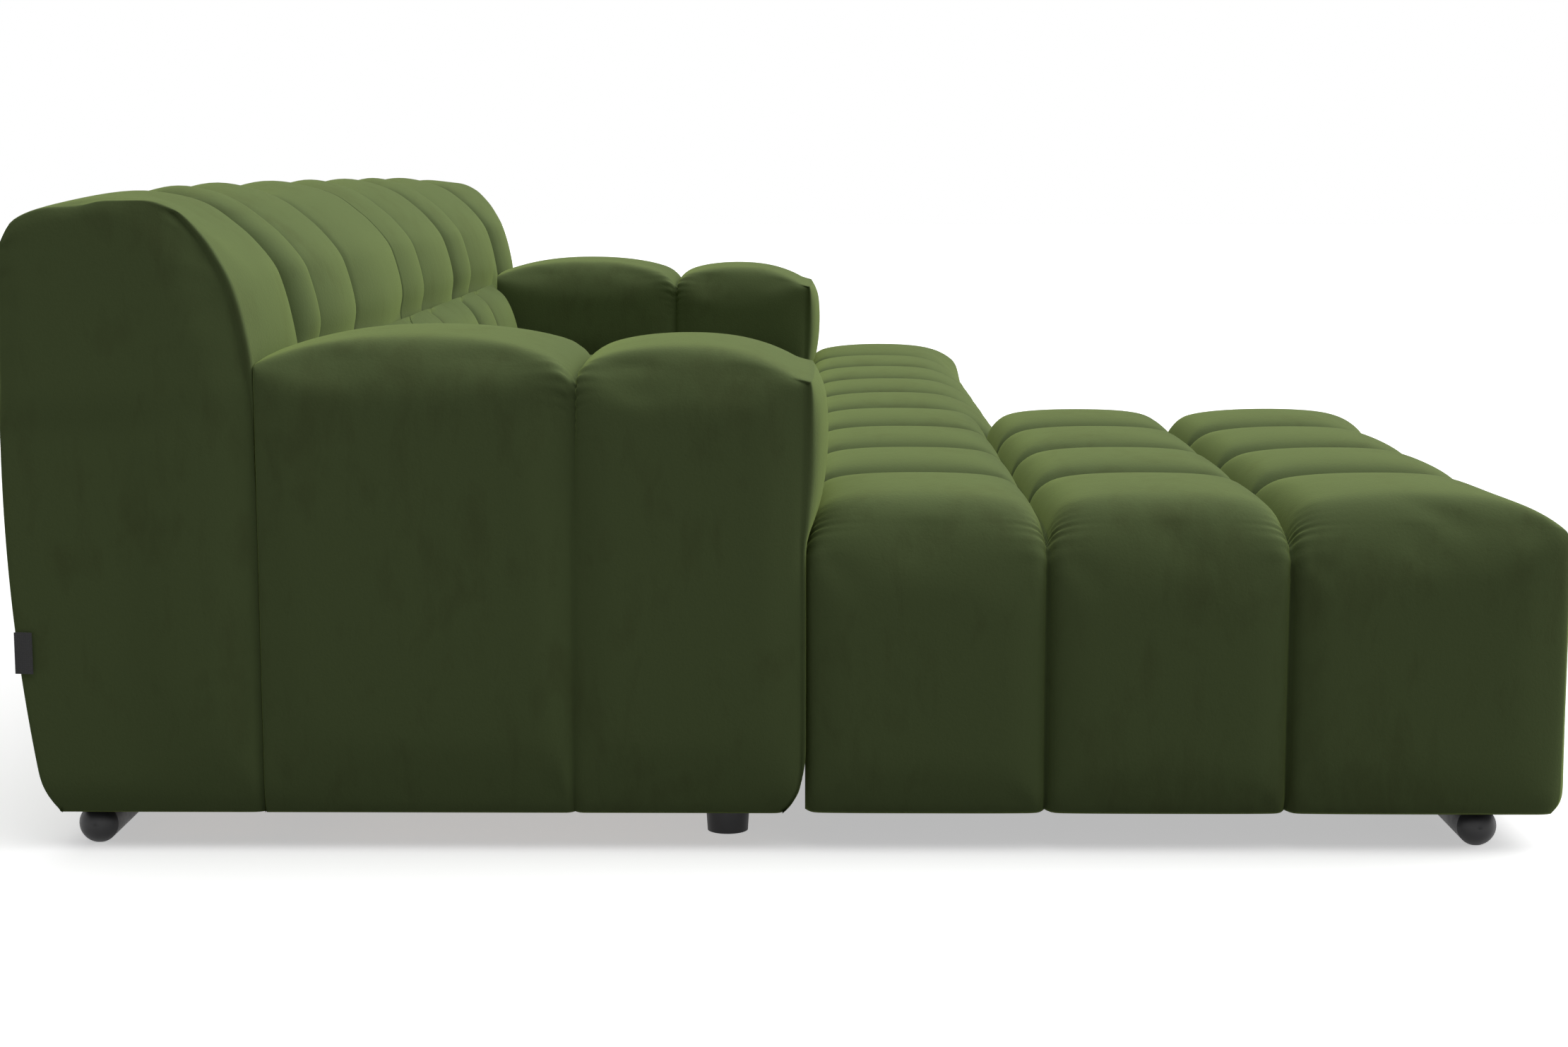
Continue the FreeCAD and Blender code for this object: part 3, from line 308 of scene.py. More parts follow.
# %% Pucker and finish a cover
PUCKER_STEP = 0.017
PUCKER_WANDER = 0.005
PUCKER_WAVES = (61, 23)
PUCKER_RISE = 0.006
PUCKER_REACH = 0.017
PUCKER_HEIGHT = 0.0020
HEM_RISE = 0.025


def pucker(piece, gap, along, where):
    """Small folds that run away from a seam; where says how strong they are at each point."""
    normals = np.empty(len(piece.data.vertices) * 3)
    piece.data.vertex_normals.foreach_get("vector", normals)
    quick, slow = PUCKER_WAVES
    uneven = along + PUCKER_WANDER * np.sin(along * quick) + PUCKER_WANDER * np.sin(along * slow + 1)
    wave = np.cos(2 * np.pi * uneven / PUCKER_STEP)
    rise = np.clip(gap / PUCKER_RISE, 0, 1)
    height = PUCKER_HEIGHT * wave * where * rise * np.exp(-gap / PUCKER_REACH)
    move_points(piece, coordinates(piece) + normals.reshape(-1, 3) * height[:, None])


def finish_cover(piece, node):
    """A turned-up hem, and the piece's place in the model."""
    only(piece)
    bpy.ops.object.mode_set(mode="EDIT")
    bpy.ops.mesh.select_mode(type="EDGE")
    bpy.ops.mesh.select_all(action="DESELECT")
    bpy.ops.mesh.select_non_manifold()
    bpy.ops.mesh.extrude_edges_move(TRANSFORM_OT_translate={"value": (0, 0, HEM_RISE)})
    bpy.ops.mesh.edge_face_add()
    bpy.ops.object.mode_set(mode="OBJECT")
    bpy.ops.object.shade_smooth()
    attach(piece, "root")
    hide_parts(node)
    print(piece.name, len(piece.data.polygons), "faces, for", node)


print("puckers about", PUCKER_STEP, "m apart and", PUCKER_HEIGHT, "m high")

# %% [markdown]
# ## Measures along a cover
# The covers are shaped by a few measures that every point gets: where it lies between two seams, how near
# it is to a seam, and how near it is to an edge that rolls over. Cloth bends most beside a seam, so the
# grid lines are first gathered towards the seams.

# %% Measures that shape the cloth
GATHER = 0.7
HAIR = 1e-6


def mix(low, high, share):
    return low + (high - low) * share


def ramp(value, start, end):
    """0 up to the start, 1 from the end on, and even in between."""
    return np.clip((value - start) / (end - start), 0, 1)


def seams_around(places, seams):
    """The two seams that each place lies between."""
    index = np.clip(np.searchsorted(seams, places - HAIR, side="right") - 1, 0, len(seams) - 2)
    return seams[index], seams[index + 1]


def across(places, seams):
    """Where each place lies between its two seams, from -1 to 1."""
    near, far = seams_around(places, seams)
    return np.clip(2 * (places - near) / (far - near) - 1, -1, 1)


def gathered(places, seams):
    """The same grid lines, moved towards the seams."""
    near, far = seams_around(places, seams)
    share = across(places, seams)
    return (near + far) / 2 + (far - near) / 2 * mix(share, np.sin(np.pi / 2 * share), GATHER)


def to_seam(places, seams):
    """How far each place is from the nearest of these seams."""
    return np.min([np.abs(places - seam) for seam in seams], axis=0)


def tuck(distance, radius):
    """How deep the cloth dips beside a seam: 1 on it, rolling round to 0 at the radius."""
    return 1 - np.sqrt(1 - np.clip(1 - distance / radius, 0, 1) ** 2)


def closeness(distance, reach):
    """1 at an edge, falling to 0 at a distance."""
    return np.clip(1 - distance / reach, 0, 1)


print("the lounge's folds are", np.round(np.diff(lounge.folds), 3), "m apart")

# %% [markdown]
# ## Seat covers
# Each seat is a grid of square tufts, and the rows in front of the arm run out to the sofa's end. One box
# can't have such a wing, so the wing is a second block. The walls between the two are deleted, and the blocks
# are joined and merged. Extruding the wing would be shorter, but it leaves the points in another order on
# each run, and the simulation would then not repeat itself.

# %% Cut the seats
SEAT_TOP = 0.412


def seat_block(module):
    """The block of one module's seat, joined with its wing in front of the arm."""
    inner, side, outer = module.x(module.length), module.x(OUTER_COLUMN), module.x(0.0)
    front, arm, rear = HALF_DEPTH - module.front, HALF_DEPTH - ARM_SEAM, HALF_DEPTH - SEAT_REAR
    row_seams = HALF_DEPTH - module.rows[1:-1]
    wing = block(module.name + "_wing", (min(side, outer), front, FLOOR_GAP),
                 (max(side, outer), arm, SEAT_TOP), ([], row_seams[row_seams < arm - SEAM_MARGIN], []))
    select_faces(wing, lambda centre, normal: normal.x * module.turn > SQUARE_ON)
    bpy.ops.mesh.delete(type="FACE")
    bpy.ops.object.mode_set(mode="OBJECT")
    piece = block(module.name + "_seat_cover", (min(inner, side), front, FLOOR_GAP),
                  (max(inner, side), rear, SEAT_TOP), (module.x(module.columns[1:-1]), row_seams, []))
    select_faces(piece, lambda centre, normal: normal.x * module.turn < -SQUARE_ON and centre.y < arm)
    bpy.ops.mesh.delete(type="FACE")
    bpy.ops.object.mode_set(mode="OBJECT")
    wing.select_set(True)
    bpy.ops.object.join()
    bpy.ops.object.mode_set(mode="EDIT")
    bpy.ops.mesh.select_all(action="SELECT")
    bpy.ops.mesh.remove_doubles(threshold=TOUCH)
    refine(piece)
    return piece


seats = [(module, seat_block(module)) for module in (lounge, sofa)]

# %% [markdown]
# ## The shoulder of a seat
# The open edges of the real seat roll over a wide shoulder. The square edge of the block is pulled onto a
# quarter circle for it. At the outer front corners the panels meet in a crisper seam, so the shoulder gets
# narrow there.

# %% Roll the seats' edges
SHOULDER_REACH = 0.072
SHOULDER_DROP = 0.080
FRONT_REACH = 0.115
CORNER_REACH = 0.028
CORNER_DROP = 0.034
CORNER_SPAN = 0.19


def seat_shoulder(module, u, v, z):
    """How much each point faces out, in, forward and up, and the shoulder's size there."""
    roll = SimpleNamespace()
    roll.beyond_arm = v > ARM_SEAM - SEAM_MARGIN
    roll.beyond_joint = v > module.open_from - SEAM_MARGIN
    end_gap = np.where(roll.beyond_joint, np.minimum(u, module.length - u), u)
    at_end = closeness(end_gap, CORNER_SPAN) ** 2
    at_front = closeness(module.front - v, CORNER_SPAN) ** 2
    roll.front_reach = mix(FRONT_REACH, CORNER_REACH, at_end)
    roll.side_reach = mix(SHOULDER_REACH, CORNER_REACH, at_front)
    roll.drop = mix(SHOULDER_DROP, CORNER_DROP, at_end * at_front)
    out = closeness(u, roll.side_reach) * roll.beyond_arm
    inn = closeness(module.length - u, roll.side_reach) * roll.beyond_joint
    fore = closeness(module.front - v, roll.front_reach)
    up = closeness(SEAT_TOP - z, roll.drop)
    length = np.maximum(np.sqrt(out ** 2 + inn ** 2 + fore ** 2 + up ** 2), 1)
    rolled = (out + inn + fore) > 0
    roll.out, roll.inn, roll.fore = out / length, inn / length, fore / length
    roll.up = np.where(rolled, up / length, up)
    return roll


print("shoulder", SHOULDER_REACH, "m wide at the sides and", FRONT_REACH, "m in front")

# %% [markdown]
# ## The tufts of a seat
# On the real seat the sewn lines sit about 5 cm below the crests, and the side panels are almost flat up to
# their seams. So every point sinks by its nearness to a seam: downwards on the top, inwards on the panels,
# and by a share of both on the shoulder, which keeps the seam one smooth line from top to panel.

# %% Shape the seats
DOME_DEPTH = 0.018
DOME_POWER = 3.6
CORNER_RELIEF = 0.014
TOP_TUCK = 0.037
FRONT_FALL = 0.018
SIDE_FALL = 0.010
EDGE_POWER = 2.2
SETTLE_FROM = 0.220
PANEL_DEPTH = 0.018
PANEL_REACH = 0.012
PANEL_SWELL = 0.003
PANEL_POWER = 4.0
PINCH = 0.30
HEM = 0.022
FLAT_SHARE = 0.9
SEAT_SLACK = 0.25
PANEL_SLACK = 0.05
SHOULDER_SLACK = 1.6
SLACK_POWER = 4
SEAT_CAP = 0.012
PANEL_CAP = 0.005
SEAM_CAP = 0.4
SEAM_PLAY = 0.002


def seat_shape(module, piece):
    """Moves the block's points onto the seat's shape, and says where it is sewn, slack and free to swell."""
    places = coordinates(piece)
    u = gathered(module.u(places[:, 0]), module.columns)
    v = gathered(HALF_DEPTH - places[:, 1], module.rows)
    z = gathered(places[:, 2], np.array([FLOOR_GAP, SEAT_TOP]))
    s, t = across(u, module.columns), across(v, module.rows)
    roll = seat_shoulder(module, u, v, z)
    side = np.maximum(roll.out, roll.inn)
    open_side = (s < 0) & (u < OUTER_COLUMN) & roll.beyond_arm
    open_side = open_side | ((s > 0) & (u > module.columns[-2]) & roll.beyond_joint)
    open_front = (t > 0) & (v > module.rows[-2])
    row_gap = to_seam(v, module.rows[:-1])
    column_gap = to_seam(u, module.columns[1:-1])
    column_gap = np.where(roll.beyond_joint, column_gap, np.minimum(column_gap, module.length - u))
    seam_gap = np.minimum(row_gap, column_gap)

    row_dome = np.where(open_front, 0, np.abs(t) ** DOME_POWER)
    column_dome = np.where(open_side, 0, np.abs(s) ** DOME_POWER)
    fall = DOME_DEPTH * (row_dome + column_dome) - CORNER_RELIEF * row_dome * column_dome
    fall = fall + TOP_TUCK * tuck(seam_gap, TOP_TUCK)
    edge_fall = FRONT_FALL * np.where(open_front, np.abs(t), 0) ** EDGE_POWER
    edge_fall = edge_fall + SIDE_FALL * np.where(open_side, np.abs(s), 0) ** EDGE_POWER
    row_groove = PANEL_SWELL * np.where(open_front, 0, np.abs(t)) ** PANEL_POWER
    row_groove = row_groove + PANEL_DEPTH * tuck(row_gap, PANEL_REACH)
    column_groove = PANEL_SWELL * np.where(open_side, 0, np.abs(s)) ** PANEL_POWER
    column_groove = column_groove + PANEL_DEPTH * tuck(column_gap, PANEL_REACH)
    pinched = 1 + PINCH * roll.up * np.maximum(side, roll.fore)
    over_edge = roll.up ** 2
    hem = HEM / 2 * closeness(z - FLOOR_GAP, HEM) ** 2

    new_u = np.where(roll.out > 0, roll.side_reach * (1 - roll.out), u)
    new_u = np.where(roll.inn > 0, module.length - roll.side_reach * (1 - roll.inn), new_u)
    new_u = new_u + (mix(row_groove, fall, over_edge) * pinched + hem) * (roll.out - roll.inn)
    new_v = np.where(roll.fore > 0, module.front - roll.front_reach * (1 - roll.fore), v)
    new_v = new_v - (mix(column_groove, fall, over_edge) * pinched + hem) * roll.fore
    new_z = np.where(roll.up > 0, SEAT_TOP - roll.drop * (1 - roll.up), z)
    settled = ramp(new_z, SETTLE_FROM, SEAT_TOP) ** 2
    top_fall = mix(np.maximum(row_groove, column_groove), fall, over_edge)
    new_z = new_z - top_fall * pinched * roll.up - edge_fall * settled
    move_points(piece, np.column_stack([module.x(new_u), HALF_DEPTH - new_v, new_z]))

    shows = (roll.up > 0) | (side > FLAT_SHARE) | (roll.fore > FLAT_SHARE)
    on_seam = seam_gap < TOUCH
    sewn = on_seam | ~shows | (z < FLOOR_GAP + HEM / 2)
    near_seam = np.maximum(np.abs(s) ** SLACK_POWER * ~open_side, np.abs(t) ** SLACK_POWER * ~open_front)
    slack = mix(SEAT_SLACK, 1.0, near_seam) * np.clip(roll.up * SHOULDER_SLACK, PANEL_SLACK, 1)
    cap = np.minimum(mix(PANEL_CAP, SEAT_CAP, roll.up), SEAM_CAP * seam_gap + SEAM_PLAY)
    return sewn, slack, cap, on_seam & shows


seat_seams = [seat_shape(module, piece) for module, piece in seats]
print("seams of", len(seat_seams), "seats laid")

# %% [markdown]
# ## Stuffed seats
# The seats swell in the simulation, and their seams stay crisp when they are smoothed. Where a seam crosses
# the shoulder, the velvet has to take up the bend, so short puckers run away from the seam there.

# %% Stuff the seats
SEAT_PRESSURE = 2.2
PUCKER_LOW = 0.30
PUCKER_BLEND = 0.05
PUCKER_SPAN = 0.08


def seat_puckers(module, piece):
    """Puckers beside the seams, on the shoulders only."""
    places = coordinates(piece)
    u, v, z = module.u(places[:, 0]), HALF_DEPTH - places[:, 1], places[:, 2]
    high = ramp(z, PUCKER_LOW, PUCKER_LOW + PUCKER_BLEND)
    side_gap = np.minimum(u, np.where(v > module.open_from, module.length - u, module.length))
    at_side, at_front = closeness(side_gap, PUCKER_SPAN), closeness(module.front - v, PUCKER_SPAN)
    pucker(piece, to_seam(v, module.rows[1:-1]), z + u, high * np.sqrt(at_side))
    pucker(piece, to_seam(u, module.columns[1:-1]), z - v, high * np.sqrt(at_front))


covers = []
for (module, piece), seams in zip(seats, seat_seams):
    stuff(piece, SEAT_PRESSURE, *seams)
    seat_puckers(module, piece)
    finish_cover(piece, module.name + "_seat_upholstery")
    covers.append(piece)

# %% [markdown]
# ## Back covers
# The back is one long pad. Its end panel gives the section: a rounded rear corner, a low arch on top, a
# corner, and a front that slopes out to the arm. Away from the end, the pad rolls over the top without an
# edge.

# %% Roll the backs' edges
BACK_TOP = 0.736
FRONT_HEIGHTS = (0.045, 0.540, 0.575, 0.620, 0.660, 0.700, 0.736)
FRONT_DEPTHS = (0.287, 0.287, 0.283, 0.274, 0.262, 0.239, 0.209)
TOP_SHARES = (0.0, 0.04, 0.10, 0.25, 0.57, 0.86, 1.0)
TOP_HEIGHTS = (0.694, 0.708, 0.726, 0.742, 0.752, 0.746, 0.735)
ARCH_START = 0.600
REAR_ROUND = 0.020
FRONT_ROUND = 0.085
END_ROUND = 0.008
END_REACH = 0.14


def back_block(module):
    """The block of one module's back, cut at its folds."""
    ends = module.x(0.0), module.x(module.length)
    low = (min(ends), HALF_DEPTH - BACK_DEPTH, FLOOR_GAP)
    high = (max(ends), HALF_DEPTH, BACK_TOP)
    piece = block(module.name + "_back_cover", low, high, (module.x(module.folds[1:-1]), [], []))
    refine(piece)
    return piece


def back_section(u, v, z):
    """The end panel's section: each point's depth and height, its share of the depth and of the arch."""
    front_round = mix(FRONT_ROUND, END_ROUND, closeness(u, END_REACH) ** 2)
    rear, fore = closeness(v, REAR_ROUND), closeness(BACK_DEPTH - v, front_round)
    up_rear, up_fore = closeness(BACK_TOP - z, REAR_ROUND), closeness(BACK_TOP - z, front_round)
    rear_length = np.maximum(np.hypot(rear, up_rear), 1)
    fore_length = np.maximum(np.hypot(fore, up_fore), 1)
    new_v = np.where(rear > 0, REAR_ROUND * (1 - rear / rear_length), v)
    new_v = np.where(fore > 0, BACK_DEPTH - front_round * (1 - fore / fore_length), new_v)
    new_z = np.where((rear > 0) & (up_rear > 0), BACK_TOP - REAR_ROUND * (1 - up_rear / rear_length), z)
    new_z = np.where((fore > 0) & (up_fore > 0), BACK_TOP - front_round * (1 - up_fore / fore_length), new_z)
    share = new_v / BACK_DEPTH
    rise = ramp(new_z, ARCH_START, BACK_TOP)
    new_v = share * np.interp(new_z, FRONT_HEIGHTS, FRONT_DEPTHS)
    new_z = new_z + (np.interp(share, TOP_SHARES, TOP_HEIGHTS) - BACK_TOP) * rise ** 2
    return new_v, new_z, share, rise


backs = [(module, back_block(module)) for module in (lounge, sofa)]

# %% [markdown]
# ## The channels of a back
# The front is gathered into upright channels of uneven width, which run on over the top and end below in a
# crease above the lumbar roll. The end panel is flat and meets the first channel in a crisp seam with a
# rolled edge.

# %% Shape the backs
CHANNEL_DEPTH = 0.021
CHANNEL_TUCK = 0.024
CHANNEL_POWER = 2.2
CHANNEL_SWELL = 0.010
CHANNEL_CROWN = 0.013
CROWN_START = 0.50
END_GROOVE, JOINT_GROOVE = 0.4, 0.6
CHANNEL_SHARES = (0.15, 0.50)
CHANNEL_HEIGHTS = (0.30, 0.40)
TURN_SHARES = (0.45, 0.85)
SWELL_HEIGHTS = (0.50, 0.56)
CREASE_HEIGHT = 0.552
CREASE_DEPTH = 0.026
CREASE_REACH = 0.045
CREASE_SHARE = 0.9
REAR_LEAN = 0.037
REAR_LEAN_RISE = 0.400
REAR_HEM = 0.016
WALL_HEM = 0.010
BACK_HEM_RISE = 0.045
EDGE_TUCK = 0.006
EDGE_REACH = 0.014
EDGE_ROLL = 0.007
ROLL_REACH = 0.025
FOLD_FACING = 0.02
HIDDEN_BELOW = 0.50
HIDDEN_FRONT, HIDDEN_REAR = 0.20, 0.15
SEWN_HEM = 0.020
BACK_SLACK = (0.15, 0.90)
REST_SLACK = 0.10
BACK_CAP = 0.012


def back_shape(module, piece):
    """Moves the block's points onto the back's shape, and says where it is sewn, slack and free to swell."""
    places = coordinates(piece)
    u = gathered(module.u(places[:, 0]), module.folds)
    v = gathered(HALF_DEPTH - places[:, 1], np.array([0.0, BACK_DEPTH]))
    z = gathered(places[:, 2], np.array([FLOOR_GAP, BACK_TOP]))
    s = across(u, module.folds)
    wall, inner = u < TOUCH, u > module.length - TOUCH
    new_v, new_z, share, rise = back_section(u, v, z)

    fold_gap = to_seam(u, module.folds[1:-1])
    groove = np.abs(s) ** CHANNEL_POWER
    groove = np.where((s < 0) & (u < module.folds[1]), END_GROOVE * groove, groove)
    groove = np.where((s > 0) & (u > module.folds[-2]), JOINT_GROOVE * groove, groove)
    facing = ramp(share, *CHANNEL_SHARES) * ramp(new_z, *CHANNEL_HEIGHTS)
    forward = ramp(share, *TURN_SHARES)
    dip = CHANNEL_DEPTH * groove + CHANNEL_TUCK * tuck(fold_gap, CHANNEL_TUCK)
    fullness = CHANNEL_SWELL * ~wall - dip
    new_v = new_v + fullness * facing * forward * ramp(new_z, *SWELL_HEIGHTS)
    crown = CHANNEL_CROWN * (1 - groove) * ramp(u, 0, CROWN_START)
    new_z = new_z + (crown - dip) * facing * (1 - forward) * rise
    between_arms = ramp(u, ARM_INNER, ARM_INNER + CREASE_REACH) * (share > CREASE_SHARE)
    new_v = new_v - CREASE_DEPTH * tuck(np.abs(new_z - CREASE_HEIGHT), CREASE_REACH) * between_arms
    hem = closeness(z - FLOOR_GAP, BACK_HEM_RISE) ** 2
    new_v = new_v + REAR_LEAN * closeness(z - FLOOR_GAP, REAR_LEAN_RISE) ** 2 * closeness(v, BACK_DEPTH / 2)
    new_v = new_v + REAR_HEM * hem * closeness(v, REAR_HEM)
    new_u = u + WALL_HEM * hem * wall + EDGE_TUCK * tuck(BACK_DEPTH - v, EDGE_REACH) * wall
    new_u = new_u - EDGE_ROLL * closeness(u, ROLL_REACH) * ~wall * (v > BACK_DEPTH / 2) * (z > SEAT_TOP)
    move_points(piece, np.column_stack([module.x(new_u), HALF_DEPTH - new_v, new_z]))

    on_fold = (fold_gap < TOUCH) & (facing > FOLD_FACING)
    edge = wall & (v > BACK_DEPTH - TOUCH)
    hidden = (z < HIDDEN_BELOW) & ~wall & (v > HIDDEN_FRONT)
    plain_rear = (z < HIDDEN_BELOW) & (v < HIDDEN_REAR)
    sewn = on_fold | edge | inner | hidden | plain_rear | (z < FLOOR_GAP + SEWN_HEM)
    slack = mix(*BACK_SLACK, groove) * facing + REST_SLACK
    cap = np.where(wall, PANEL_CAP, np.minimum(BACK_CAP, SEAM_CAP * fold_gap + SEAM_PLAY))
    return sewn, slack, cap, on_fold | edge


BACK_PRESSURE = 2.0
for module, piece in backs:
    stuff(piece, BACK_PRESSURE, *back_shape(module, piece))
    finish_cover(piece, module.name + "_back_upholstery")
    covers.append(piece)

# %% [markdown]
# ## Lumbar rolls
# Below the back's channels a second, lower row of channels fills the corner between back and seat. It only
# shows from its crease down to the seat, so it is one rounded roll drawn in at the same folds.

# %% Cut the lumbar rolls
LUMBAR_LOW = 0.240
LUMBAR_TOP = 0.550
LUMBAR_START = OUTER_COLUMN + 0.002
LUMBAR_FRONT = SEAT_REAR - 0.004
BACK_CLEARANCE = 0.001
FIRST_FOLD, LAST_FOLD = 0.05, 0.01


def lumbar_block(module):
    """The block of one module's lumbar roll, and the folds that it is cut at."""
    near, far = module.x(LUMBAR_START), module.x(module.length)
    low = (min(near, far), HALF_DEPTH - LUMBAR_FRONT, LUMBAR_LOW)
    high = (max(near, far), HALF_DEPTH - BACK_DEPTH - BACK_CLEARANCE, LUMBAR_TOP)
    clear_of_arm = module.folds > OUTER_COLUMN + FIRST_FOLD
    folds = module.folds[clear_of_arm & (module.folds < module.length - LAST_FOLD)]
    piece = block(module.name + "_lumbar_cover", low, high, (module.x(folds), [], []))
    refine(piece)
    return piece, folds


rolls = [(module, *lumbar_block(module)) for module in (lounge, sofa)]

# %% [markdown]
# ## The shape of a lumbar roll
# The section is a quarter of an ellipse from the seat up to the crease, and the folds draw it in between
# channels.

# %% Shape the lumbar rolls
LUMBAR_FOOT = 0.360
LUMBAR_LIP = 0.003
LUMBAR_DIP = 0.011
LUMBAR_TUCK = 0.016
LUMBAR_PINNED = 0.5
LUMBAR_SLACK = (0.2, 0.9)
LUMBAR_CAP = 0.008
LUMBAR_PRESSURE = 4.0


def lumbar_shape(module, piece, folds):
    """Moves the block's points onto the roll's shape, and says where it is sewn, slack and free to swell."""
    places = coordinates(piece)
    seams = np.concatenate([[LUMBAR_START], folds, [module.length]])
    u = gathered(module.u(places[:, 0]), seams)
    v, z = HALF_DEPTH - places[:, 1], places[:, 2]
    fold_gap = to_seam(u, folds)
    groove = np.abs(across(u, seams)) ** CHANNEL_POWER
    height = ramp(z, LUMBAR_FOOT, LUMBAR_TOP)
    depth = LUMBAR_FRONT - BACK_DEPTH
    share = (v - BACK_DEPTH) / depth
    dip = LUMBAR_DIP * groove + LUMBAR_TUCK * tuck(fold_gap, LUMBAR_TUCK)
    profile = mix(LUMBAR_LIP, depth, np.sqrt(np.clip(1 - height ** 2, 0, 1)))
    new_v = BACK_DEPTH + share * np.maximum(profile - dip * (height > 0), LUMBAR_LIP / 2)
    new_z = z - dip * height ** 2 * share
    move_points(piece, np.column_stack([module.x(u), HALF_DEPTH - new_v, new_z]))

    on_fold = fold_gap < TOUCH
    ends = (u < LUMBAR_START + SEAM_MARGIN) | (u > module.length - TOUCH)
    sewn = on_fold | ends | (share < LUMBAR_PINNED) | (z < LUMBAR_FOOT + SEWN_HEM)
    cap = np.minimum(LUMBAR_CAP, SEAM_CAP * fold_gap + SEAM_PLAY)
    return sewn, mix(*LUMBAR_SLACK, groove), cap, on_fold


for module, piece, folds in rolls:
    stuff(piece, LUMBAR_PRESSURE, *lumbar_shape(module, piece, folds))
    finish_cover(piece, module.name + "_lumbar_roll")
    covers.append(piece)

# %% [markdown]
# ## Arm covers
# An arm is two pillows side by side. The top rolls over to both sides, and close to the notch and the front
# the roll tightens to small ears. The far arm is the mirror image.

# %% Cut the arms
ARM_REAR = 0.288
ARM_NOTCH = 0.644
ARM_TOP = 0.588
ARM_ROUND = 0.055
EAR_ROUND = 0.014
EAR_POWER = 3


def arm_block(module):
    """The block of one arm, cut at its notch."""
    ends = module.x(0.0), module.x(ARM_INNER)
    low = (min(ends), HALF_DEPTH - ARM_FRONT, FLOOR_GAP)
    high = (max(ends), HALF_DEPTH - ARM_REAR, ARM_TOP)
    piece = block(module.name + "_arm_cover", low, high, ([], [HALF_DEPTH - ARM_NOTCH], []))
    refine(piece)
    return piece


def arm_shoulder(u, z, t):
    """How much each point faces out, in and up, and the shoulder's radius there."""
    arm_round = mix(ARM_ROUND, EAR_ROUND, np.abs(t) ** EAR_POWER)
    out, inn = closeness(u, arm_round), closeness(ARM_INNER - u, arm_round)
    up = closeness(ARM_TOP - z, arm_round)
    length = np.maximum(np.sqrt(out ** 2 + inn ** 2 + up ** 2), 1)
    lift = np.where((out + inn) > 0, up / length, up)
    return out / length, inn / length, lift, arm_round


arms = [(module, arm_block(module)) for module in (lounge, sofa)]

# %% [markdown]
# ## The pillows of an arm
# A narrow notch parts the two pillows, and a seam runs down from it. Above the seat, a band of cloth bulges
# out of the front between two crisp edges. The pillows settle towards the notch, most at the top and not at
# all below.

# %% Shape the arms
ARM_CROWN = 0.006
REAR_ARCH, NOTCH_ARCH, FRONT_ARCH = 0.026, 0.020, 0.034
ARM_POWER = 2.4
FRONT_DROP = 0.011
NOTCH_DEPTH = 0.024
NOTCH_REACH = 0.030
ARM_TUCK = 0.007
SETTLE = 0.350
SETTLE_POWER = 3
ARM_BULGE = 0.022
BULGE_HEIGHTS = (0.360, 0.552)
BAND_SHARE = 0.98
BAND_LIP = 0.008
ARM_HEM_RISE = 0.040
ARM_HEM = 0.010
FRONT_HEM = 0.022
FRONT_HEM_REACH = 0.060
ARM_HIDDEN = 0.40
ARM_SLACK = (0.1, 1.0)
ARM_SIDE_SLACK = 0.1
ARM_SHOULDER_SLACK = 1.5
ARM_CAP = 0.008


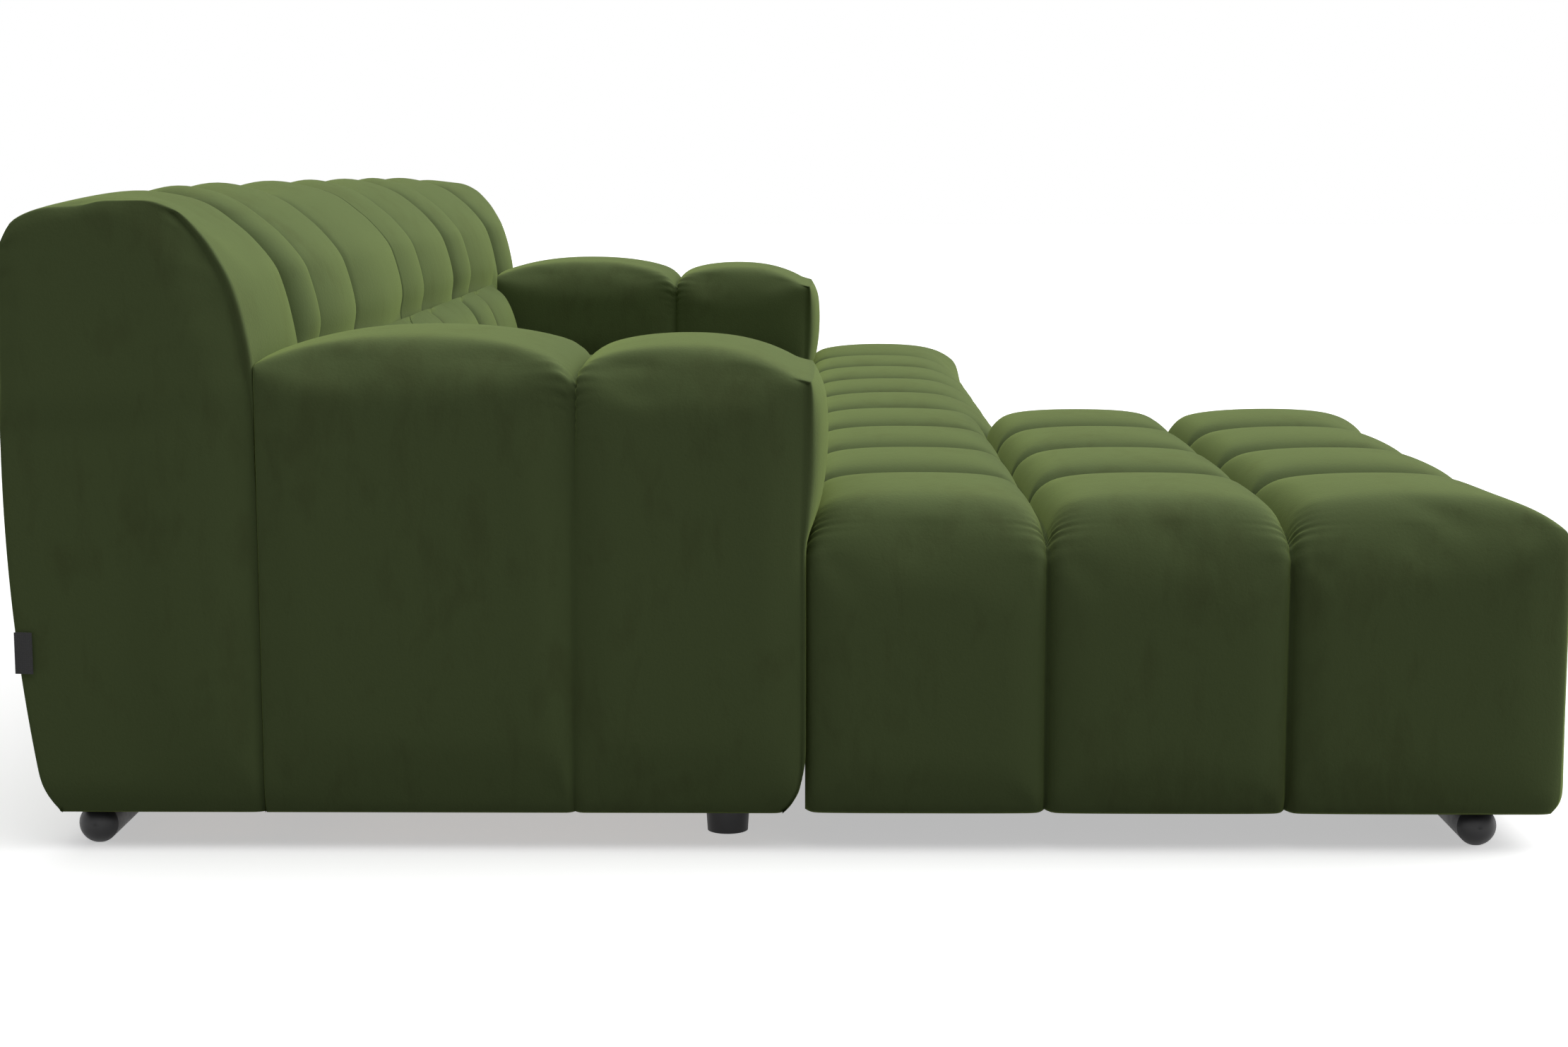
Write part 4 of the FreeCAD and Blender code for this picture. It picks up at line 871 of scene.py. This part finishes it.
def arm_shape(module, piece):
    """Moves the block's points onto the arm's shape, and says where it is sewn, slack and free to swell."""
    places = coordinates(piece)
    pillows = np.array([ARM_REAR, ARM_NOTCH, ARM_FRONT])
    u = gathered(module.u(places[:, 0]), np.array([0.0, ARM_INNER]))
    v = gathered(HALF_DEPTH - places[:, 1], pillows)
    z = gathered(places[:, 2], np.array([FLOOR_GAP, ARM_TOP]))
    t = across(v, pillows)
    out, inn, lift, arm_round = arm_shoulder(u, z, t)
    outward = out - inn
    middle = 1 - ((u - ARM_INNER / 2) / (ARM_INNER / 2)) ** 2
    fore_pillow = v > ARM_NOTCH
    notch_gap = np.abs(v - ARM_NOTCH)
    at_front = v > ARM_FRONT - TOUCH
    at_side = (u < TOUCH) | (u > ARM_INNER - TOUCH)

    new_u = np.where(out > 0, arm_round * (1 - out), u)
    new_u = np.where(inn > 0, ARM_INNER - arm_round * (1 - inn), new_u)
    new_u = new_u + ARM_TUCK * tuck(notch_gap, ARM_TUCK) * outward
    new_u = new_u + EDGE_TUCK * tuck(ARM_FRONT - v, EDGE_REACH) * outward * at_side
    rolls_out = closeness(u, ROLL_REACH) - closeness(ARM_INNER - u, ROLL_REACH)
    new_u = new_u - EDGE_ROLL * rolls_out * (at_front & ~at_side)
    arch = np.where(fore_pillow, np.where(t < 0, NOTCH_ARCH, FRONT_ARCH), REAR_ARCH)
    drop = arch * np.abs(t) ** ARM_POWER + FRONT_DROP * fore_pillow
    drop = drop + NOTCH_DEPTH * tuck(notch_gap, NOTCH_REACH)
    new_z = np.where(lift > 0, ARM_TOP - arm_round * (1 - lift), z)
    new_z = new_z - drop * ramp(new_z, SETTLE, ARM_TOP) ** SETTLE_POWER
    new_z = new_z + ARM_CROWN * middle * lift
    level = ramp(new_z, *BULGE_HEIGHTS)
    bulge = ARM_BULGE * np.sqrt(np.clip(4 * level * (1 - level), 0, 1)) * np.sqrt(np.clip(middle, 0, 1))
    new_v = v + np.where(at_front, bulge, 0) + BAND_LIP * level * (t > BAND_SHARE)
    hem = closeness(z - FLOOR_GAP, ARM_HEM_RISE) ** 2
    new_v = new_v - FRONT_HEM * hem * closeness(ARM_FRONT - v, FRONT_HEM_REACH)
    new_u = new_u + ARM_HEM * hem * outward
    move_points(piece, np.column_stack([module.x(new_u), HALF_DEPTH - new_v, new_z]))

    on_notch = notch_gap < TOUCH
    front_edge = at_front & (at_side | (z > ARM_TOP - TOUCH))
    hidden = (u > ARM_INNER - TOUCH) & (z < ARM_HIDDEN)
    sewn = on_notch | front_edge | hidden | (v < ARM_REAR + TOUCH) | (z < FLOOR_GAP + SEWN_HEM)
    slack = mix(*ARM_SLACK, np.abs(t) ** SLACK_POWER)
    slack = slack * np.clip(lift * ARM_SHOULDER_SLACK, ARM_SIDE_SLACK, 1)
    cap = np.minimum(mix(PANEL_CAP, ARM_CAP, lift), SEAM_CAP * notch_gap + SEAM_PLAY)
    return sewn, slack, cap, on_notch | front_edge


arm_seams = [arm_shape(module, piece) for module, piece in arms]
print("seams of", len(arm_seams), "arms laid")

# %% [markdown]
# ## Stuffed arms
# The arms are stuffed like the seats, and get a few puckers where the notch's seam turns over the shoulder.

# %% Stuff the arms
ARM_PRESSURE = 1.6
NOTCH_PUCKER_SPAN = 0.08
NOTCH_PUCKER_HEIGHTS = (0.46, 0.51)

for (module, piece), seams in zip(arms, arm_seams):
    stuff(piece, ARM_PRESSURE, *seams)
    places = coordinates(piece)
    u, v, z = module.u(places[:, 0]), HALF_DEPTH - places[:, 1], places[:, 2]
    side_gap = np.minimum(u, ARM_INNER - u)
    at_shoulder = closeness(side_gap, NOTCH_PUCKER_SPAN) * ramp(z, *NOTCH_PUCKER_HEIGHTS)
    pucker(piece, np.abs(v - ARM_NOTCH), z + side_gap, at_shoulder)
    finish_cover(piece, module.name + "_arm_upholstery")
    covers.append(piece)

# %% [markdown]
# ## The sewn-in tab
# A small black tab of folded ribbon is sewn into the rear seam of the near end panel. A plane is laid on
# the panel, subdivided, lifted a little towards its free edge and thickened to two layers of ribbon.

# %% Tab
TAB_LOW, TAB_HIGH = 0.209, 0.257
TAB_REAR, TAB_FREE = 0.008, 0.029
TAB_LIFT = 0.0022
TAB_THICK = 0.0014
TAB_CUTS = 9
TAB_ANGLE = 40

bpy.ops.object.select_all(action="DESELECT")
bpy.ops.mesh.primitive_plane_add(size=1)
tab = bpy.context.object
tab.name = tab.data.name = "lounge_blank_tab"
bpy.ops.object.mode_set(mode="EDIT")
bpy.ops.mesh.subdivide(number_cuts=TAB_CUTS)
bpy.ops.object.mode_set(mode="OBJECT")
flat = coordinates(tab) + 0.5
tab_v = mix(TAB_REAR, TAB_FREE, flat[:, 0])
tab_z = mix(TAB_LOW, TAB_HIGH, flat[:, 1])
tab_x = -HALF_WIDTH - TAB_THICK - TAB_LIFT * flat[:, 0] ** 2
move_points(tab, np.column_stack([tab_x, HALF_DEPTH - tab_v, tab_z]))
only(tab)
layers = tab.modifiers.new("two layers", "SOLIDIFY")
layers.thickness = TAB_THICK
layers.offset = 0
bpy.ops.object.modifier_apply(modifier="two layers")
edges = tab.modifiers.new("folded edge", "BEVEL")
edges.width = TAB_THICK / 4
edges.segments = 2
bpy.ops.object.modifier_apply(modifier="folded edge")
bpy.ops.object.mode_set(mode="EDIT")
bpy.ops.mesh.select_all(action="SELECT")
bpy.ops.mesh.normals_make_consistent(inside=False)
bpy.ops.object.mode_set(mode="OBJECT")
bpy.ops.object.shade_smooth_by_angle(angle=np.radians(TAB_ANGLE))
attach(tab, "root")
print("tab", len(tab.data.polygons), "faces")

# %% [markdown]
# ## Colours and nodes
# Colours are written as they look on screen, in hex, and turned to the linear values that shaders need. One
# small function adds a node with its settings and links, and pattern sizes are given in millimetres. A wave
# texture is set by the width of its bands.

# %% Helpers for materials


def colour(code):
    """A screen colour such as #59653f as linear red, green, blue and alpha."""
    parts = [int(code[i:i + 2], 16) / 255 for i in (1, 3, 5)]
    return [c / 12.92 if c <= 0.04045 else ((c + 0.055) / 1.055) ** 2.4 for c in parts] + [1.0]


def add(tree, kind, links=None, **settings):
    """Adds a node; links gives a socket a value, or joins it to another node's output."""
    made = tree.nodes.new(kind)
    for name, value in settings.items():
        setattr(made, name, value)
    for socket, value in (links or {}).items():
        if isinstance(value, bpy.types.NodeSocket):
            tree.links.new(value, made.inputs[socket])
        else:
            made.inputs[socket].default_value = value
    return made


def per_metre(millimetres):
    """The texture scale that gives a pattern this size."""
    return 1000 / millimetres


def band_scale(millimetres):
    """The wave texture's scale whose light and dark bands are each about this wide."""
    return per_metre(millimetres) / (2 * np.pi)


def new_material(name):
    made = bpy.data.materials.new(name)
    made.use_nodes = True
    made.node_tree.nodes.clear()
    return made, made.node_tree


print("olive in linear values", [round(part, 3) for part in colour("#59653f")])

# %% [markdown]
# ## Velvet
# Cotton velvet has a short dense pile. Seen straight on it is dark, because light sinks between the fibres,
# and at a glancing angle the fibre tips catch it, which the sheen lobe gives. Hands and folding leave the
# nap lying in soft patches a few centimetres wide, a little lighter or darker than the rest.

# %% Velvet material


def velvet_material():
    made, tree = new_material("olive_cotton_velvet")
    places = add(tree, "ShaderNodeTexCoord")
    patches = add(tree, "ShaderNodeTexNoise", {"Vector": places.outputs["Object"], "Scale": per_metre(150),
                                               "Detail": 3.0, "Roughness": 0.55, "Distortion": 0.6})
    stretched = add(tree, "ShaderNodeMapping", {"Vector": places.outputs["Object"],
                                                "Scale": (1.0, 1.0, 0.35)})
    strokes = add(tree, "ShaderNodeTexNoise", {"Vector": stretched.outputs["Vector"], "Scale": per_metre(28),
                                               "Detail": 4.0, "Roughness": 0.6, "Distortion": 0.3})
    # the pile is about half a millimetre, drawn coarser so that its grain shows
    pile = add(tree, "ShaderNodeTexNoise", {"Vector": places.outputs["Object"], "Scale": per_metre(3.5),
                                            "Detail": 2.0, "Roughness": 0.6})
    nap = add(tree, "ShaderNodeMath", {0: patches.outputs["Fac"], 1: strokes.outputs["Fac"]}, operation="ADD")
    tone = add(tree, "ShaderNodeValToRGB", {"Fac": nap.outputs["Value"]})
    tone.color_ramp.elements[0].position = 0.72
    tone.color_ramp.elements[0].color = colour("#515c39")
    tone.color_ramp.elements[1].color = colour("#56633e")
    ridges = add(tree, "ShaderNodeBump", {"Height": pile.outputs["Fac"], "Strength": 0.25,
                                          "Distance": 0.0012})
    folds = add(tree, "ShaderNodeBump", {"Height": strokes.outputs["Fac"], "Strength": 0.07,
                                         "Distance": 0.004, "Normal": ridges.outputs["Normal"]})
    # cotton velvet: dark seen straight on, with a pale green bloom at glancing angles
    cloth = add(tree, "ShaderNodeBsdfPrincipled", {
        "Base Color": tone.outputs["Color"], "Roughness": 0.92, "Specular IOR Level": 0.12,
        "Sheen Weight": 0.62, "Sheen Roughness": 0.38, "Sheen Tint": colour("#aec36a"),
        "Normal": folds.outputs["Normal"]})
    add(tree, "ShaderNodeOutputMaterial", {"Surface": cloth.outputs["BSDF"]})
    return made


velvet = velvet_material()
for cover in covers:
    cover.data.materials.clear()
    cover.data.materials.append(velvet)
print("velvet on", len(covers), "covers")

# %% [markdown]
# ## Feet and tab
# The feet are moulded black plastic with a satin skin, which is smooth but not mirror-like and shows faint
# dust and handling. The tab is black ribbon: fine threads in both directions that only show as a soft
# ripple.

# %% Foot plastic and ribbon


def foot_material():
    made, tree = new_material("satin_black_plastic")
    places = add(tree, "ShaderNodeTexCoord")
    handling = add(tree, "ShaderNodeTexNoise", {"Vector": places.outputs["Object"], "Scale": per_metre(22),
                                                "Detail": 4.0, "Roughness": 0.6})
    moulding = add(tree, "ShaderNodeTexNoise", {"Vector": places.outputs["Object"], "Scale": per_metre(2.5),
                                                "Detail": 1.0})
    gloss = add(tree, "ShaderNodeMapRange", {"Value": handling.outputs["Fac"], "From Min": 0.3,
                                             "From Max": 0.7, "To Min": 0.38, "To Max": 0.55})
    tone = add(tree, "ShaderNodeValToRGB", {"Fac": handling.outputs["Fac"]})
    tone.color_ramp.elements[0].color = colour("#17171a")
    tone.color_ramp.elements[1].color = colour("#242426")
    grain = add(tree, "ShaderNodeBump", {"Height": moulding.outputs["Fac"], "Strength": 0.08,
                                         "Distance": 0.0004})
    # moulded plastic: one broad dull highlight along each bar
    skin = add(tree, "ShaderNodeBsdfPrincipled", {"Base Color": tone.outputs["Color"], "IOR": 1.5,
                                                  "Roughness": gloss.outputs["Result"],
                                                  "Normal": grain.outputs["Normal"]})
    add(tree, "ShaderNodeOutputMaterial", {"Surface": skin.outputs["BSDF"]})
    return made


def woven_material(name, dark, light, thread, sheen):
    """Threads across and along, each as a wave, with the colour of the upper thread."""
    made, tree = new_material(name)
    places = add(tree, "ShaderNodeTexCoord")
    warp = add(tree, "ShaderNodeTexWave", {"Vector": places.outputs["Object"], "Scale": band_scale(thread),
                                           "Distortion": 0.6, "Detail": 1.0}, bands_direction="Z")
    weft = add(tree, "ShaderNodeTexWave", {"Vector": places.outputs["Object"], "Scale": band_scale(thread),
                                           "Distortion": 0.6, "Detail": 1.0}, bands_direction="Y")
    cross = add(tree, "ShaderNodeMath", {0: warp.outputs["Fac"], 1: weft.outputs["Fac"]},
                operation="MULTIPLY")
    tone = add(tree, "ShaderNodeValToRGB", {"Fac": cross.outputs["Value"]})
    tone.color_ramp.elements[0].color = colour(dark)
    tone.color_ramp.elements[1].color = colour(light)
    ripple = add(tree, "ShaderNodeBump", {"Height": cross.outputs["Value"], "Strength": 0.5,
                                          "Distance": 0.0004})
    cloth = add(tree, "ShaderNodeBsdfPrincipled", {"Base Color": tone.outputs["Color"], "Roughness": 0.8,
                                                   "Sheen Weight": sheen, "Normal": ripple.outputs["Normal"]})
    add(tree, "ShaderNodeOutputMaterial", {"Surface": cloth.outputs["BSDF"]})
    return made


finishes = {"velvet": velvet, "black_foot": foot_material()}
# elastic webbing: dark brownish threads with a coarse ripple
finishes["webbing"] = woven_material("woven_elastic_webbing", "#26241f", "#4d4a44", 2.5, 0.1)
# ribbon: fine black threads with a slight silky bloom
tab.data.materials.append(woven_material("black_ribbon", "#0b0b0c", "#202022", 1.2, 0.2))
print("finishes so far", sorted(finishes))

# %% [markdown]
# ## The hidden frame
# Under the covers there are pine rails, birch plywood boards, beech dowels, pale foam, a black dust cloth
# and zinc plated bolts. They show only when the sofa is taken apart, but each still has its own grain,
# pores or plating.

# %% Wood, foam, dust cloth and zinc
SPECKS_PER_CLOUD = 12


def wood_material(name, dark, light, ring, roughness):
    """Growth rings as wavering bands, with fine fibres along the grain."""
    made, tree = new_material(name)
    places = add(tree, "ShaderNodeTexCoord")
    along = add(tree, "ShaderNodeMapping", {"Vector": places.outputs["Object"], "Scale": (0.08, 1.0, 1.0)})
    rings = add(tree, "ShaderNodeTexWave", {"Vector": along.outputs["Vector"], "Scale": band_scale(ring),
                                            "Distortion": 5.0, "Detail": 3.0, "Detail Scale": 1.5},
                bands_direction="Y")
    fibres = add(tree, "ShaderNodeTexNoise", {"Vector": along.outputs["Vector"], "Scale": per_metre(1.5),
                                              "Detail": 3.0})
    grain = add(tree, "ShaderNodeMath", {0: rings.outputs["Fac"], 1: fibres.outputs["Fac"]},
                operation="MULTIPLY")
    tone = add(tree, "ShaderNodeValToRGB", {"Fac": grain.outputs["Value"]})
    tone.color_ramp.elements[0].color = colour(light)
    tone.color_ramp.elements[1].color = colour(dark)
    pores = add(tree, "ShaderNodeBump", {"Height": fibres.outputs["Fac"], "Strength": 0.2,
                                         "Distance": 0.0005})
    wood = add(tree, "ShaderNodeBsdfPrincipled", {"Base Color": tone.outputs["Color"], "Roughness": roughness,
                                                  "Normal": pores.outputs["Normal"]})
    add(tree, "ShaderNodeOutputMaterial", {"Surface": wood.outputs["BSDF"]})
    return made


def speckled_material(name, dark, light, speck, roughness, metallic, depth):
    """A surface of small cells: foam pores, bonded fibres or the spangle of zinc."""
    made, tree = new_material(name)
    places = add(tree, "ShaderNodeTexCoord")
    cells = add(tree, "ShaderNodeTexVoronoi", {"Vector": places.outputs["Object"], "Scale": per_metre(speck)})
    cloudy = add(tree, "ShaderNodeTexNoise", {"Vector": places.outputs["Object"], "Detail": 3.0,
                                              "Scale": per_metre(speck * SPECKS_PER_CLOUD)})
    blend = add(tree, "ShaderNodeMath", {0: cells.outputs["Distance"], 1: cloudy.outputs["Fac"]},
                operation="MULTIPLY")
    tone = add(tree, "ShaderNodeValToRGB", {"Fac": blend.outputs["Value"]})
    tone.color_ramp.elements[0].color = colour(dark)
    tone.color_ramp.elements[1].color = colour(light)
    tone.color_ramp.elements[1].position = 0.6
    relief = add(tree, "ShaderNodeBump", {"Height": cells.outputs["Distance"], "Strength": 0.4,
                                          "Distance": depth})
    skin = add(tree, "ShaderNodeBsdfPrincipled", {"Base Color": tone.outputs["Color"], "Roughness": roughness,
                                                  "Metallic": metallic, "Normal": relief.outputs["Normal"]})
    add(tree, "ShaderNodeOutputMaterial", {"Surface": skin.outputs["BSDF"]})
    return made


# planed pine: wide warm bands with a dull sheen
finishes["timber"] = wood_material("planed_pine", "#b98d57", "#dcb988", 6.0, 0.6)
# birch plywood: less yellow than pine, with narrow bands
finishes["plywood"] = wood_material("birch_plywood", "#b08b5e", "#cfae82", 3.0, 0.65)
# turned beech: reddish, with fine bands and a smoother skin
finishes["beech"] = wood_material("turned_beech", "#ab7d53", "#c79b70", 2.5, 0.5)
# polyurethane foam: cream, quite dull, pitted with open cells
finishes["foam"] = speckled_material("polyurethane_foam", "#cdbf95", "#e6dcb8", 1.5, 0.95, 0.0, 0.0008)
# bonded dust cloth: thin black felt with faint dots
finishes["dust_cloth"] = speckled_material("bonded_dust_cloth", "#0d0d0e", "#1f1f20", 2.5, 0.9, 0.0, 0.0003)
# zinc plating: grey metal with a soft spangle
finishes["zinc_steel"] = speckled_material("zinc_plated_steel", "#8d9094", "#b3b6b9", 1.2, 0.35, 1.0, 0.0001)
for part in frame["record"]["subparts"]:
    node = frame["nodes"][part["node"]]
    node.data.materials.clear()
    node.data.materials.append(finishes[part["material_slot"]])
print("finishes", sorted(finishes))

# %% [markdown]
# ## Floor and background
# The photograph shows a cut-out on white with a soft shadow below. The floor and the world are white to the
# camera, also in reflections and through glass. To bounced light they are darker, so that the white doesn't
# light the sofa.

# %% Floor and world
FLOOR_SIZE = 60
FLOOR_SEEN, FLOOR_GLOW, FLOOR_BOUNCE = 0.97, 0.47, 0.30
AMBIENT = 0.12


def seen_directly(tree):
    """1 for rays that show the background itself, and 0 for bounced light."""
    ray = add(tree, "ShaderNodeLightPath")
    some = add(tree, "ShaderNodeMath", {0: ray.outputs["Is Camera Ray"], 1: ray.outputs["Is Glossy Ray"]},
               operation="MAXIMUM")
    seen = add(tree, "ShaderNodeMath", {0: some.outputs["Value"], 1: ray.outputs["Is Transmission Ray"]},
               operation="MAXIMUM")
    return seen.outputs["Value"]


bpy.ops.object.select_all(action="DESELECT")
bpy.ops.mesh.primitive_plane_add(size=FLOOR_SIZE, location=(0, 0, 0))
floor = bpy.context.object
floor.name = "floor"
floor_material, tree = new_material("pale_floor")
shadow = add(tree, "ShaderNodeBsdfDiffuse", {"Color": (FLOOR_SEEN, FLOOR_SEEN, FLOOR_SEEN, 1)})
glow = add(tree, "ShaderNodeEmission", {"Color": (1, 1, 1, 1), "Strength": FLOOR_GLOW})
white_floor = add(tree, "ShaderNodeAddShader", {0: shadow.outputs["BSDF"], 1: glow.outputs["Emission"]})
bounce = add(tree, "ShaderNodeBsdfDiffuse", {"Color": (FLOOR_BOUNCE, FLOOR_BOUNCE, FLOOR_BOUNCE, 1)})
floor_mix = add(tree, "ShaderNodeMixShader", {0: seen_directly(tree), 1: bounce.outputs["BSDF"],
                                              2: white_floor.outputs["Shader"]})
add(tree, "ShaderNodeOutputMaterial", {"Surface": floor_mix.outputs["Shader"]})
floor.data.materials.append(floor_material)

world = bpy.data.worlds.new("studio")
bpy.context.scene.world = world
world.use_nodes = True
tree = world.node_tree
tree.nodes.clear()
ambient = add(tree, "ShaderNodeBackground", {"Color": (1, 1, 1, 1), "Strength": AMBIENT})
white = add(tree, "ShaderNodeBackground", {"Color": (1, 1, 1, 1), "Strength": 1.0})
sky = add(tree, "ShaderNodeMixShader", {0: seen_directly(tree), 1: ambient.outputs["Background"],
                                        2: white.outputs["Background"]})
add(tree, "ShaderNodeOutputWorld", {"Surface": sky.outputs["Shader"]})
print("floor", FLOOR_SIZE, "m wide")

# %% [markdown]
# ## Light
# Two broad soft suns light the sofa, one from above and one from in front, because a sun is equally strong
# all over the floor and leaves no edge of light on it. A wide sun angle gives the soft shadow.

# %% Suns


def soft_sun(name, direction, angle, strength):
    """A broad soft light that shines from a direction."""
    lamp = bpy.data.lights.new(name, "SUN")
    lamp.angle = np.radians(angle)
    lamp.energy = strength
    holder = bpy.data.objects.new(name, lamp)
    bpy.context.scene.collection.objects.link(holder)
    holder.rotation_euler = (-Vector(direction)).to_track_quat("-Z", "Y").to_euler()
    print(name, strength, "W per square metre")


soft_sun("soft_light_above", direction=(0.2, -0.35, 1.0), angle=100, strength=2.4)
soft_sun("soft_light_front", direction=(0.35, -1.0, 0.55), angle=60, strength=1.3)

# %% [markdown]
# ## Camera
# The photograph was taken from beyond the lounge's end, from just above the back and looking slightly down.
# The place, the angles and the focal length in pixels were fitted to the seams.

# %% Camera
CAMERA_PLACE = (-4.2162, -0.0227, 0.7849)
PITCH, YAW = 0.1374, 0.0092
FOCAL_PIXELS, PHOTO_WIDTH = 3678.3, 2220
SENSOR = 36

camera_data = bpy.data.cameras.new("photo_camera")
camera_data.sensor_width = SENSOR
camera_data.lens = SENSOR * FOCAL_PIXELS / PHOTO_WIDTH
camera = bpy.data.objects.new("photo_camera", camera_data)
bpy.context.scene.collection.objects.link(camera)
camera.location = CAMERA_PLACE
aim = Vector((np.cos(PITCH) * np.cos(YAW), np.cos(PITCH) * np.sin(YAW), -np.sin(PITCH)))
camera.rotation_euler = aim.to_track_quat("-Z", "Y").to_euler()
bpy.context.scene.camera = camera
bpy.context.scene.view_settings.view_transform = "Standard"
print("lens", round(camera_data.lens, 1), "mm")
